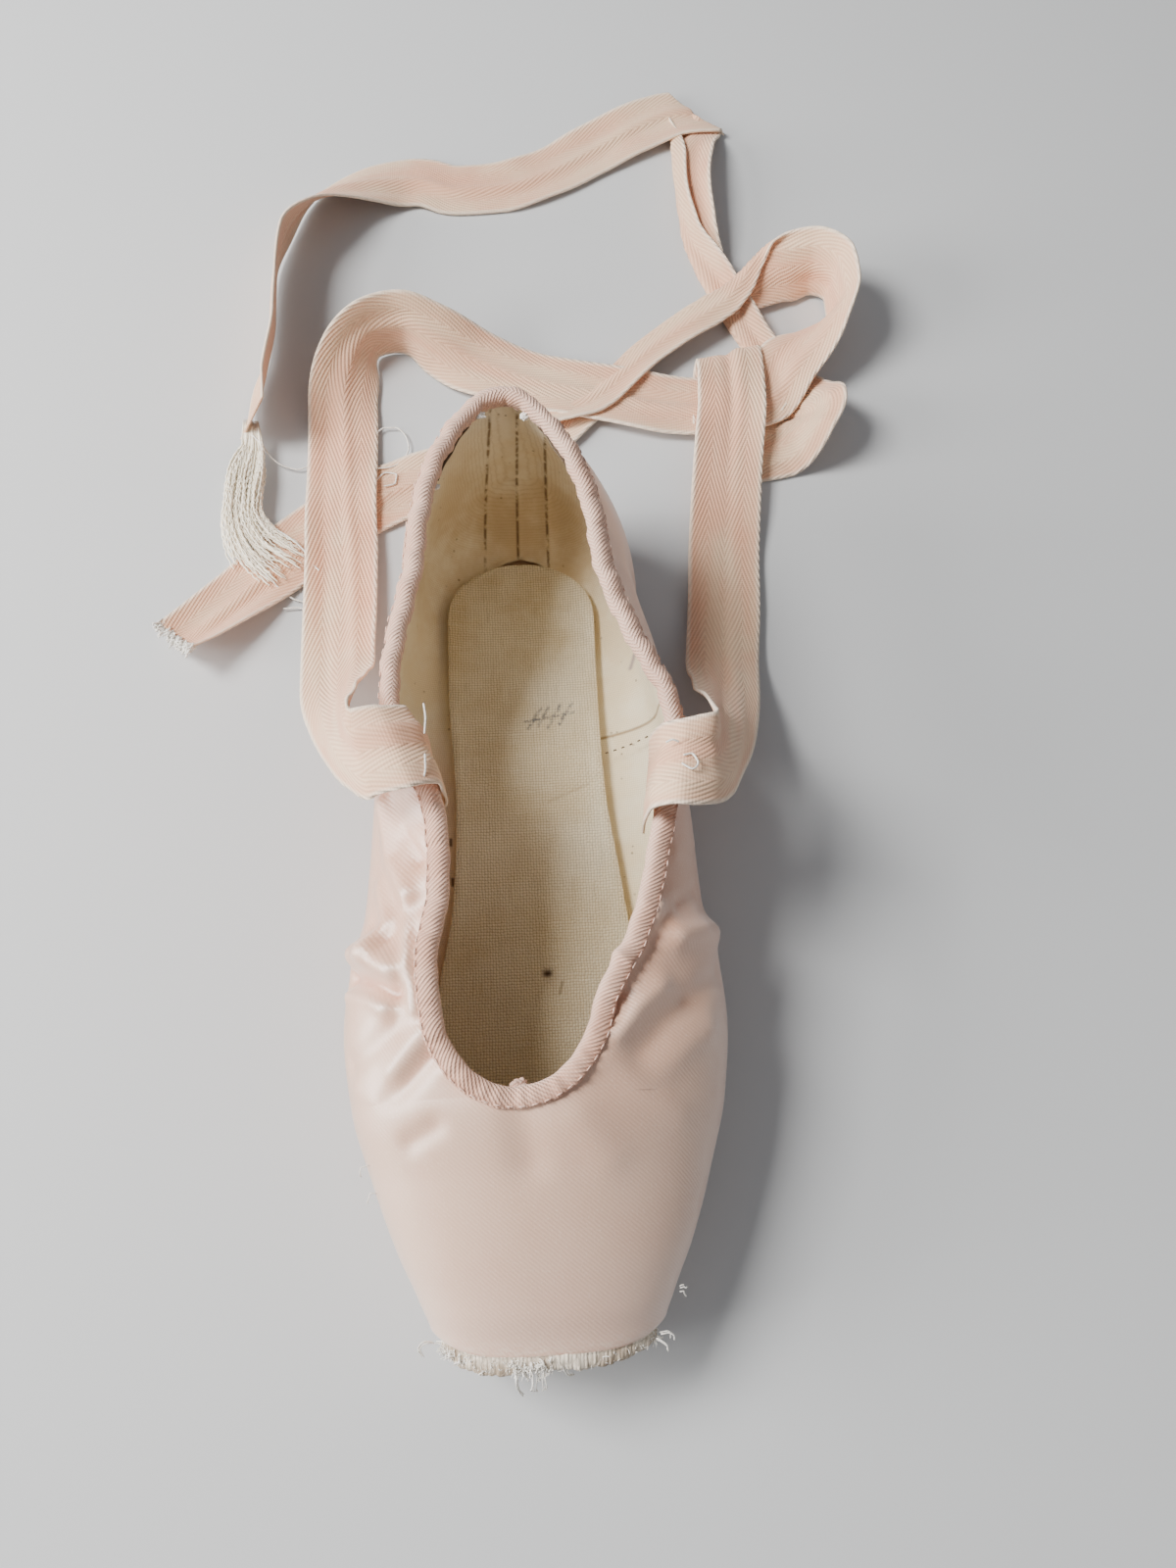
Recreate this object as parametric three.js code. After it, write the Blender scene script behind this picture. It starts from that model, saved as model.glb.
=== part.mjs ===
// A pointe shoe: a straight-lasted satin slipper with a stiffened box, a bound collar, a short
// leather outsole turned under the upper, a canvas-covered insole and two sewn-on twill ribbons.
//
// Millimetres. +Z is up and the floor is z = 0, the toe points along -Y and the heel along +Y,
// and the origin is on the floor under the middle of the shoe's length.
import * as THREE from "three";

// ---- Driving dimensions ------------------------------------------------------------------
const LENGTH = 235;
const BALL_WIDTH = 95;
const HEEL_HEIGHT = 60;
const WALL = 2;
const BOX_FADE = 26; // the stiff box thins to the plain wall over this length before the throat
const BOX_WALL = 3.6;
const PLATFORM_WALL = 6;
const SOLE = 3;
const INSOLE = 2.4;
const GAP = 0.3;
const INSOLE_GAP = 1; // the insole lies this far above the box's faceted inside
const BINDING_CLOTH = 1.2;
const BINDING_LEG = 2;
const BINDING_CLEARANCE = 0.8;
const RIBBON_WIDTH = 22;
const RIBBON_THICKNESS = 0.8;

// ---- The last ----------------------------------------------------------------------------
// One row for each section, from the platform to the back of the heel.
//   at      distance from the platform, in mm along the shoe
//   width   full width at the belly, as a share of the ball width
//   seat    height of the underside, where the outsole's top is
//   belly   height at which the section is widest
//   opening width between the collar's edges, as a share of the ball width (faded in at the throat)
//   crown   height of the vamp's ridge, or of the collar where the section is open,
//           as a share of the heel height
//   lean    sideways set of the top edge, in mm, where the slack collar sways
const LAST = [
  { at: 0, width: 0.57, seat: 6.5, belly: 17.5, opening: 0.4, crown: 0.48, lean: 0 },
  { at: 10, width: 0.63, seat: 5.9, belly: 18, opening: 0.4, crown: 0.555, lean: -0.5 },
  { at: 22, width: 0.73, seat: 5, belly: 18.5, opening: 0.4, crown: 0.63, lean: -1.5 },
  { at: 38, width: 0.845, seat: 3.9, belly: 19, opening: 0.4, crown: 0.71, lean: -3.2 },
  { at: 56, width: 0.955, seat: 3.3, belly: 20, opening: 0.36, crown: 0.785, lean: -5 },
  { at: 75, width: 1, seat: 3.3, belly: 21, opening: 0.404, crown: 0.785, lean: -4.5 },
  { at: 90, width: 0.975, seat: 3.3, belly: 21.5, opening: 0.498, crown: 0.785, lean: -0.8 },
  { at: 103, width: 0.9, seat: 3.8, belly: 22, opening: 0.52, crown: 0.79, lean: 3 },
  { at: 125, width: 0.868, seat: 5.9, belly: 23, opening: 0.595, crown: 0.82, lean: 5.2 },
  { at: 148, width: 0.83, seat: 6.9, belly: 24, opening: 0.734, crown: 0.86, lean: 1.4 },
  { at: 170, width: 0.755, seat: 5.5, belly: 24, opening: 0.61, crown: 0.9, lean: -2.3 },
  { at: 190, width: 0.68, seat: 3.3, belly: 24.5, opening: 0.504, crown: 0.95, lean: -3.2 },
];
const THROAT = 56; // where the collar opens
const THROAT_REACH = 18; // how far behind that the rounded throat has its full width
const HEEL_START = 190; // where the rounded heel begins
const HEEL_SEAT_END = 213; // where the heel's underside starts to round up
const HEEL_OPENING = 0.6; // the collar's width at the heel, against the heel's own
const HEEL_LIFT = 4.4; // how much higher the collar is at the very back than where the heel starts
const HEEL_ROUND = 23; // height of the heel's underside at the very back
const PLATFORM_EDGE = 3; // rounding of the platform's edge
const TOE_CURVE = 5; // how far the platform's corners lie behind its middle
const TOE_CURVE_REACH = 36; // where that curve has faded out
const TOP_POWER = 2.2; // superellipse powers of a section above and below the belly
const BOTTOM_POWER = 3.4;
const LEAN_POWER = 1.5;

// ---- Small tools -------------------------------------------------------------------------
// The column of a table at a distance, by cubic segments whose slopes never overshoot the rows.
function column(table, name, at) {
  const last = table.length - 1;
  if (at <= table[0].at) return table[0][name];
  if (at >= table[last].at) return table[last][name];
  const i = table.findIndex((row) => row.at > at) - 1;
  const rise = (k) => (table[k + 1][name] - table[k][name]) / (table[k + 1].at - table[k].at);
  const slope = (k) => {
    if (k === 0 || k === last) return 0;
    const before = rise(k - 1);
    const after = rise(k);
    return before * after <= 0 ? 0 : (2 * before * after) / (before + after);
  };
  const run = table[i + 1].at - table[i].at;
  const t = (at - table[i].at) / run;
  const from = table[i][name];
  const to = table[i + 1][name];
  return (
    from * (1 + 2 * t) * (1 - t) ** 2 +
    to * t * t * (3 - 2 * t) +
    run * t * (1 - t) * (slope(i) * (1 - t) - slope(i + 1) * t)
  );
}

const clamp = (v) => Math.min(1, Math.max(0, v));
const mix = (a, b, t) => a + (b - a) * t;
const spread = (count, from, to, curve = (k) => k) =>
  Array.from({ length: count + 1 }, (_, i) => mix(from, to, curve(i / count)));

// count + 1 points evenly spaced along a polyline of [x, y] pairs.
function evenly(points, count) {
  const along = [0];
  for (let i = 1; i < points.length; i++) {
    const step = Math.hypot(points[i][0] - points[i - 1][0], points[i][1] - points[i - 1][1]);
    along.push(along[i - 1] + step);
  }
  return spread(count, 0, along[along.length - 1]).map((d) => {
    const found = along.findIndex((a) => a >= d - 1e-9);
    const i = Math.max(1, found < 0 ? points.length - 1 : found);
    const t = clamp((d - along[i - 1]) / Math.max(along[i] - along[i - 1], 1e-9));
    return [mix(points[i - 1][0], points[i][0], t), mix(points[i - 1][1], points[i][1], t)];
  });
}

// A mesh of a closed surface from its corners and its quads or triangles.
function solid(name, corners, faces, material) {
  const index = faces.flatMap((f) => (f.length === 3 ? f : [f[0], f[1], f[2], f[0], f[2], f[3]]));
  const geometry = new THREE.BufferGeometry();
  geometry.setAttribute("position", new THREE.Float32BufferAttribute(corners.flat(), 3));
  geometry.setIndex(index);
  geometry.computeVertexNormals();
  const mesh = new THREE.Mesh(geometry, material);
  mesh.name = name;
  return mesh;
}

const material = (color, roughness) =>
  new THREE.MeshStandardMaterial({ color, roughness, metalness: 0 });

// ---- Sections ----------------------------------------------------------------------------
// The section of the last at a distance from the platform; inset is 0 for the outer surface and
// 1 for the inner one. Every length of it is in mm.
function sectionAt(at, inset) {
  const heel = clamp((at - HEEL_START) / (LENGTH - HEEL_START));
  const round = Math.sqrt(Math.max(0, 1 - heel ** 2.3));
  const seatRise = clamp((at - HEEL_SEAT_END) / (LENGTH - HEEL_SEAT_END));
  const wall = mix(BOX_WALL, WALL, clamp((at - THROAT + BOX_FADE) / BOX_FADE)) * inset;
  const half = (column(LAST, "width", at) * BALL_WIDTH * round) / 2;
  const belly = column(LAST, "belly", at);
  const seat = column(LAST, "seat", at) + (HEEL_ROUND - SOLE) * seatRise ** 3;
  const edge = 1 - 0.08 * clamp(1 - at / PLATFORM_EDGE) ** 2;
  const crown = column(LAST, "crown", at) * HEEL_HEIGHT + HEEL_LIFT * heel;
  const fade = clamp((at - THROAT) / THROAT_REACH);
  const opened = mix(column(LAST, "opening", at) / column(LAST, "width", at), HEEL_OPENING, heel);
  const share = Math.min(opened * Math.sqrt(1 - (1 - fade) ** 2), 0.985);
  const outer = {
    at,
    half: half * edge,
    belly,
    seat: belly - (belly - seat) * edge,
    share,
    open: share * half * edge,
    crown: belly + (crown - belly) * edge,
    lean: column(LAST, "lean", at),
  };
  if (!inset) return outer;
  const rise = riseOf(outer);
  const nx = share ** (TOP_POWER - 1) / Math.max(outer.half, 1e-6);
  const nz = ((outer.crown - belly) / rise) ** (TOP_POWER - 1) / rise;
  const length = Math.hypot(nx, nz);
  const innerHalf = outer.half - wall * clamp(outer.half / 12);
  const innerOpen = outer.open - ((wall * nx) / length) * clamp(outer.half / 12);
  return {
    at: insideAt(at),
    half: innerHalf,
    belly,
    seat: outer.seat + wall,
    share: innerHalf ? innerOpen / innerHalf : share,
    open: innerOpen,
    crown: outer.crown - (wall * nz) / length,
    lean: outer.lean,
  };
}

// The superellipse's own height above the belly, so that it passes through the collar's edge.
const riseOf = (s) =>
  (s.crown - s.belly) / (1 - s.share ** TOP_POWER) ** (1 / TOP_POWER);

// Where the inner surface has the section that the outer one has at a distance.
function insideAt(at) {
  const toe = clamp(1 - at / TOE_CURVE_REACH) * PLATFORM_WALL;
  const heel = clamp((at - HEEL_START) / (LENGTH - HEEL_START)) * WALL;
  return at + toe - heel;
}

// Half of a section as [x, z] pairs, from the edge of the bottom opening up to the collar.
function profile(section, bottomOpening, count) {
  const { half, belly, seat, share } = section;
  const rise = riseOf(section);
  const from = Math.asin(clamp(bottomOpening / Math.max(half, 1e-6)) ** (BOTTOM_POWER / 2));
  const to = Math.acos(share ** (TOP_POWER / 2));
  const below = spread(24, from, Math.PI / 2).map((a) => [
    half * Math.sin(a) ** (2 / BOTTOM_POWER),
    belly - (belly - seat) * Math.max(0, Math.cos(a)) ** (2 / BOTTOM_POWER),
  ]);
  const above = spread(24, 0, to).map((a) => [
    half * Math.max(0, Math.cos(a)) ** (2 / TOP_POWER),
    belly + rise * Math.sin(a) ** (2 / TOP_POWER),
  ]);
  return evenly([...below, ...above.slice(1)], count);
}

// A point of a section in space, on the +X side or the -X side, scaled about the belly for the
// platform's own rings.
function place(section, side, x, z, scale = 1) {
  const up = clamp((z - section.belly) / (section.crown - section.belly));
  const sway = section.lean * up ** LEAN_POWER;
  const bend = TOE_CURVE * clamp(1 - section.at / TOE_CURVE_REACH) ** 1.5;
  const across = section.half ? (scale * x) / section.half : 0;
  return [
    side * scale * x + sway,
    section.at - LENGTH / 2 + bend * across ** 4,
    section.belly + scale * (z - section.belly),
  ];
}

// Height of the last's underside at a distance and a sideways place.
function undersideAt(at, x, inset) {
  const s = sectionAt(at, inset);
  const across = clamp(Math.abs(x) / s.half);
  return s.belly - (s.belly - s.seat) * (1 - across ** BOTTOM_POWER) ** (1 / BOTTOM_POWER);
}

// ---- Outsole and insole ------------------------------------------------------------------
const OUTSOLE_SHAPE = [
  { at: 27, half: 21, shift: 0 },
  { at: 50, half: 28.5, shift: 0 },
  { at: 75, half: 30, shift: 0 },
  { at: 105, half: 25, shift: 0 },
  { at: 145, half: 18.5, shift: 0 },
  { at: 180, half: 20.5, shift: 0 },
  { at: 221, half: 20, shift: 0 },
];
const INSOLE_SHAPE = [
  { at: 20, half: 18.5, shift: 0 },
  { at: 45, half: 26, shift: 0 },
  { at: 75, half: 28, shift: 0.8 },
  { at: 110, half: 23, shift: 1.5 },
  { at: 143, half: 20.6, shift: 0.3 },
  { at: 170, half: 21.2, shift: -0.6 },
  { at: 214, half: 21.5, shift: -0.4 },
];
const SOLE_MARGIN = 7; // how far the upper's turned-in edge lies inside the outsole's
const ACROSS = [-1, -0.75, -0.4, 0, 0.4, 0.75, 1];

// Half the width of a plate at a distance, with both ends rounded off over a reach in mm.
function plateHalf(shape, at, toeReach, heelReach) {
  const toe = clamp(1 - (at - shape[0].at) / toeReach);
  const heel = clamp(1 - (shape[shape.length - 1].at - at) / heelReach);
  const round = Math.sqrt(Math.max(0, 1 - toe ** 2.4) * Math.max(0, 1 - heel ** 2.2));
  return column(shape, "half", at) * round;
}

const outsoleHalf = (at) => plateHalf(OUTSOLE_SHAPE, at, 14, 22);
const insoleHalf = (at) => plateHalf(INSOLE_SHAPE, at, 12, 20);

// Half of the hole under the foot, which the outsole closes: 0 where there is none.
function bottomOpening(at) {
  if (at < OUTSOLE_SHAPE[0].at || at > OUTSOLE_SHAPE[OUTSOLE_SHAPE.length - 1].at) return 0;
  const half = outsoleHalf(at) - SOLE_MARGIN;
  return half > 4 ? half : 0;
}

// A plate between two heights, which are functions of the distance and the sideways place.
function plate(name, shape, half, bottom, top, paint) {
  const first = shape[0].at + 0.4;
  const end = shape[shape.length - 1].at - 0.4;
  const stations = [
    ...spread(6, first, first + 14, (k) => k * k),
    ...spread(14, first + 14, end - 22).slice(1),
    ...spread(7, end - 22, end, (k) => 1 - (1 - k) ** 2).slice(1),
  ];
  const corners = [];
  for (const at of stations) {
    for (const share of ACROSS) {
      const x = column(shape, "shift", at) + share * half(at);
      corners.push([x, at - LENGTH / 2, bottom(at, x)], [x, at - LENGTH / 2, top(at, x)]);
    }
  }
  const columns = ACROSS.length;
  const id = (i, j, layer) => 2 * (i * columns + j) + layer;
  const rows = stations.length - 1;
  const faces = [];
  for (let i = 0; i < rows; i++) {
    for (let j = 0; j < columns - 1; j++) {
      faces.push([id(i, j, 1), id(i, j + 1, 1), id(i + 1, j + 1, 1), id(i + 1, j, 1)]);
      faces.push([id(i, j, 0), id(i + 1, j, 0), id(i + 1, j + 1, 0), id(i, j + 1, 0)]);
    }
    const k = columns - 1;
    faces.push([id(i, 0, 0), id(i, 0, 1), id(i + 1, 0, 1), id(i + 1, 0, 0)]);
    faces.push([id(i, k, 0), id(i + 1, k, 0), id(i + 1, k, 1), id(i, k, 1)]);
  }
  for (let j = 0; j < columns - 1; j++) {
    faces.push([id(0, j, 0), id(0, j + 1, 0), id(0, j + 1, 1), id(0, j, 1)]);
    faces.push([id(rows, j, 0), id(rows, j, 1), id(rows, j + 1, 1), id(rows, j + 1, 0)]);
  }
  return solid(name, corners, faces, paint);
}

function outsole() {
  const top = (at, x) => undersideAt(at, x, 0) - GAP;
  const bottom = (at) => column(LAST, "seat", at) - GAP - SOLE;
  return plate("outsole", OUTSOLE_SHAPE, outsoleHalf, bottom, top, material(0xcbb49a, 0.8));
}

function insole() {
  const bottom = (at, x) => undersideAt(at, x, 1) + INSOLE_GAP;
  const top = (at, x) => undersideAt(at, x, 1) + INSOLE_GAP + INSOLE;
  return plate("insole", INSOLE_SHAPE, insoleHalf, bottom, top, material(0xd8ccb0, 0.95));
}

// ---- Upper -------------------------------------------------------------------------------
const PROFILE_STEPS = 14;
const PLATFORM_RINGS = [0.3, 0.62, 0.86, 0.96];
const COLLAR_STATIONS = [
  ...spread(7, THROAT, THROAT + THROAT_REACH, (k) => k * k),
  ...spread(11, THROAT + THROAT_REACH, HEEL_START).slice(1),
  ...spread(10, HEEL_START, LENGTH, (k) => Math.sin((k * Math.PI) / 2)).slice(1),
];
const STATIONS = [0, 1, 3, ...spread(5, 8, THROAT), ...COLLAR_STATIONS.slice(1)];

// The upper's outer and inner surfaces are grids of sections, joined along the collar, round the
// hole under the foot and nowhere else. Where a section is closed, its two halves share a corner.
function upper() {
  const rings = [
    ...PLATFORM_RINGS.map((scale) => ({ at: 0, scale })),
    ...STATIONS.map((at) => ({ at, scale: 1 })),
  ];
  const corners = [];
  const grids = [0, 1].map((inset) =>
    rings.map(({ at, scale }) => {
      const section = sectionAt(at, inset);
      const hole = bottomOpening(at);
      const points = profile(section, hole, PROFILE_STEPS);
      const closedTop = section.open < 0.01;
      const heelEnd = at === LENGTH;
      const half = (side, shared) =>
        points.map(([x, z], j) => {
          const joined = (j === 0 && !hole) || (j === PROFILE_STEPS && closedTop) || heelEnd;
          if (shared && joined) return shared[j];
          corners.push(place(section, side, x, z, scale));
          return corners.length - 1;
        });
      const right = half(1);
      return { right, left: half(-1, right), hole, closedTop };
    }),
  );
  const faces = [];
  const quad = (a, b, c, d, flip) => {
    const ring = [a, b, c, d].filter((v, i, all) => v !== all[(i + 3) % 4]);
    if (ring.length > 2) faces.push(flip ? ring.reverse() : ring);
  };
  grids.forEach((grid, inset) => {
    for (let i = 0; i < grid.length - 1; i++) {
      for (let j = 0; j < PROFILE_STEPS; j++) {
        const [a, b] = [grid[i], grid[i + 1]];
        quad(a.right[j], b.right[j], b.right[j + 1], a.right[j + 1], inset === 1);
        quad(a.left[j], b.left[j], b.left[j + 1], a.left[j + 1], inset === 0);
      }
    }
    const first = grid[0];
    for (let j = 0; j < PROFILE_STEPS; j++) {
      quad(first.right[j], first.right[j + 1], first.left[j + 1], first.left[j], inset === 1);
    }
  });
  const [outer, inner] = grids;
  for (let i = 0; i < outer.length - 1; i++) {
    const [a, b, c, d] = [outer[i], outer[i + 1], inner[i + 1], inner[i]];
    const top = PROFILE_STEPS;
    if (!a.closedTop || !b.closedTop) {
      quad(a.right[top], b.right[top], c.right[top], d.right[top], false);
      quad(a.left[top], b.left[top], c.left[top], d.left[top], true);
    }
    if (a.hole || b.hole) {
      quad(a.right[0], b.right[0], c.right[0], d.right[0], true);
      quad(a.left[0], b.left[0], c.left[0], d.left[0], false);
    }
  }
  return solid("upper", corners, faces, material(0xe0bfae, 0.35));
}

// ---- Collar binding ----------------------------------------------------------------------
// The middle of the collar's cut edge, with the direction out of the shoe and the one off the edge.
function collarFrame(at, side) {
  const edge = (d) => {
    const outer = sectionAt(d, 0);
    const inner = sectionAt(d, 1);
    const a = new THREE.Vector3(...place(outer, side, outer.open, outer.crown));
    const b = new THREE.Vector3(...place(inner, side, inner.open, inner.crown));
    return { a, b, middle: a.clone().lerp(b, 0.5) };
  };
  const here = edge(at);
  const step = 0.02;
  const ahead = edge(Math.min(at + step, LENGTH)).middle;
  const behind = edge(Math.max(at - step, THROAT)).middle;
  const atEnd = at >= LENGTH - 1e-6 || at <= THROAT + 1e-6;
  const along = atEnd ? new THREE.Vector3(1, 0, 0) : ahead.sub(behind).normalize();
  const out = here.a.clone().sub(here.b).normalize();
  const off = new THREE.Vector3().crossVectors(out, along).normalize();
  if (off.z < 0) off.negate();
  return { middle: here.middle, out, off, wall: here.a.distanceTo(here.b) };
}

// The folded tape's section, as [out of the shoe, off the edge] pairs: two legs and a round back.
function bindingSection(wall) {
  const inside = wall / 2 + BINDING_CLEARANCE;
  const out = inside + BINDING_CLOTH;
  const back = 2 * GAP + BINDING_CLOTH;
  return [
    [out * 0.92, -BINDING_LEG],
    [out, -BINDING_LEG * 0.3],
    [out * 0.62, back],
    [-out * 0.62, back],
    [-out, -BINDING_LEG * 0.3],
    [-out * 0.92, -BINDING_LEG],
    [-inside, -BINDING_LEG],
    [-inside, 2 * GAP],
    [inside, 2 * GAP],
    [inside, -BINDING_LEG],
  ];
}

// The tape that is folded over the collar's edge all the way round, with the drawstring in it.
function collarBinding() {
  const up = (side) => COLLAR_STATIONS.map((at) => collarFrame(at, side));
  const loop = [...up(1), ...up(-1).reverse().slice(1, -1)];
  const sides = bindingSection(WALL).length;
  const corners = loop.flatMap(({ middle, out, off, wall }) =>
    bindingSection(wall).map(([outwards, upwards]) =>
      middle.clone().addScaledVector(out, outwards).addScaledVector(off, upwards).toArray(),
    ),
  );
  const faces = [];
  for (let i = 0; i < loop.length; i++) {
    const next = (i + 1) % loop.length;
    for (let k = 0; k < sides; k++) {
      const other = (k + 1) % sides;
      faces.push([i * sides + k, next * sides + k, next * sides + other, i * sides + other]);
    }
  }
  return solid("collar_binding", corners, faces, material(0xd9b39e, 0.75));
}

// ---- Ribbons -----------------------------------------------------------------------------
// A ribbon is a flat band carried along a route chosen by hand, one row for each place:
//   x, at      the middle of the band; at is counted from the platform, as on the last
//   z          height of the band's middle where it is level, and of its lower edge where it tilts
//   across     compass heading of the band's width, in degrees from +X towards +Y
//   tilt       how far that width points up, in degrees
//   wide       share of the tape's width, less where it is doubled lengthwise
// Where the width isn't square to the route, as at a slanting fold, the band keeps its own width.
const RIBBON_LEFT = [
  { x: -25.4, at: 138, z: 37, across: 112, tilt: 0, wide: 1 },
  { x: -23.8, at: 138, z: 45, across: 112, tilt: 0, wide: 1 },
  { x: -24.6, at: 138, z: 54.5, across: 112, tilt: 0, wide: 1 },
  { x: -31.5, at: 136, z: 59.6, across: 111, tilt: 0, wide: 1 },
  { x: -39, at: 135.6, z: 56.2, across: 105, tilt: 5, wide: 1 },
  { x: -43.8, at: 141, z: 48, across: 88, tilt: 16, wide: 1 },
  { x: -47.5, at: 150, z: 37, across: 66, tilt: 24, wide: 1 },
  { x: -50.5, at: 161, z: 24, across: 40, tilt: 22, wide: 1 },
  { x: -53, at: 175, z: 12, across: 16, tilt: 12, wide: 1 },
  { x: -54.3, at: 190, z: 5, across: 3, tilt: 4, wide: 1 },
  { x: -54.5, at: 206, z: 3.1, across: 0, tilt: 0, wide: 1 },
  { x: -54.5, at: 222, z: 2.8, across: 0, tilt: 0, wide: 1 },
  { x: -55, at: 240, z: 2.8, across: 0, tilt: 0, wide: 1 },
  { x: -55, at: 264, z: 1.6, across: 0, tilt: 0, wide: 1 },
  { x: -55, at: 278, z: 1.3, across: -2, tilt: -10, wide: 1 },
  { x: -52, at: 291, z: 0.8, across: -12, tilt: -45, wide: 1 },
  { x: -45, at: 300, z: 1, across: -50, tilt: -75, wide: 1 },
  { x: -36, at: 302, z: 1.1, across: -88, tilt: -72, wide: 1 },
  { x: -25, at: 298, z: 1, across: -112, tilt: -45, wide: 1 },
  { x: -11, at: 292, z: 1.9, across: -118, tilt: -12, wide: 1 },
  { x: 9, at: 285, z: 3, across: -114, tilt: 0, wide: 1 },
  { x: 30, at: 280, z: 3, across: -108, tilt: 0, wide: 1 },
  { x: 50, at: 275, z: 3.1, across: -94, tilt: 0, wide: 1 },
  { x: 67, at: 274, z: 3.1, across: -84, tilt: 0, wide: 1 },
  { x: 81, at: 277.5, z: 2.9, across: -66, tilt: 0, wide: 1 },
  { x: 91, at: 289.5, z: 4.8, across: -48, tilt: 12, wide: 1 },
  { x: 102, at: 300, z: 1.7, across: -38, tilt: 45, wide: 1 },
  { x: 109.5, at: 310, z: 0.9, across: -8, tilt: 72, wide: 1 },
  { x: 109, at: 320, z: 1, across: 42, tilt: 75, wide: 1 },
  { x: 101, at: 326, z: 1.1, across: 88, tilt: 60, wide: 1 },
  { x: 90, at: 324, z: 2.3, across: 112, tilt: 35, wide: 0.9 },
  { x: 78, at: 318, z: 3.3, across: 124, tilt: 8, wide: 0.6 },
  { x: 63, at: 309, z: 2.4, across: 129, tilt: 4, wide: 0.45 },
  { x: 45, at: 296, z: 1.2, across: 130, tilt: 0, wide: 0.45 },
  { x: 28, at: 279, z: 0.9, across: 129, tilt: 0, wide: 0.5 },
  { x: 8, at: 264, z: 0.9, across: 123, tilt: 0, wide: 0.8 },
  { x: -15, at: 254, z: 0.9, across: 110, tilt: 0, wide: 1 },
  { x: -38, at: 246, z: 0.9, across: 103, tilt: 0, wide: 1 },
  { x: -58, at: 235, z: 0.9, across: 118, tilt: 0, wide: 1 },
  { x: -73, at: 222, z: 0.9, across: 130, tilt: 0, wide: 1 },
  { x: -88, at: 206, z: 0.7, across: 133, tilt: -8, wide: 1 },
  { x: -100, at: 193, z: 1, across: 136, tilt: -20, wide: 1 },
];
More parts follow.
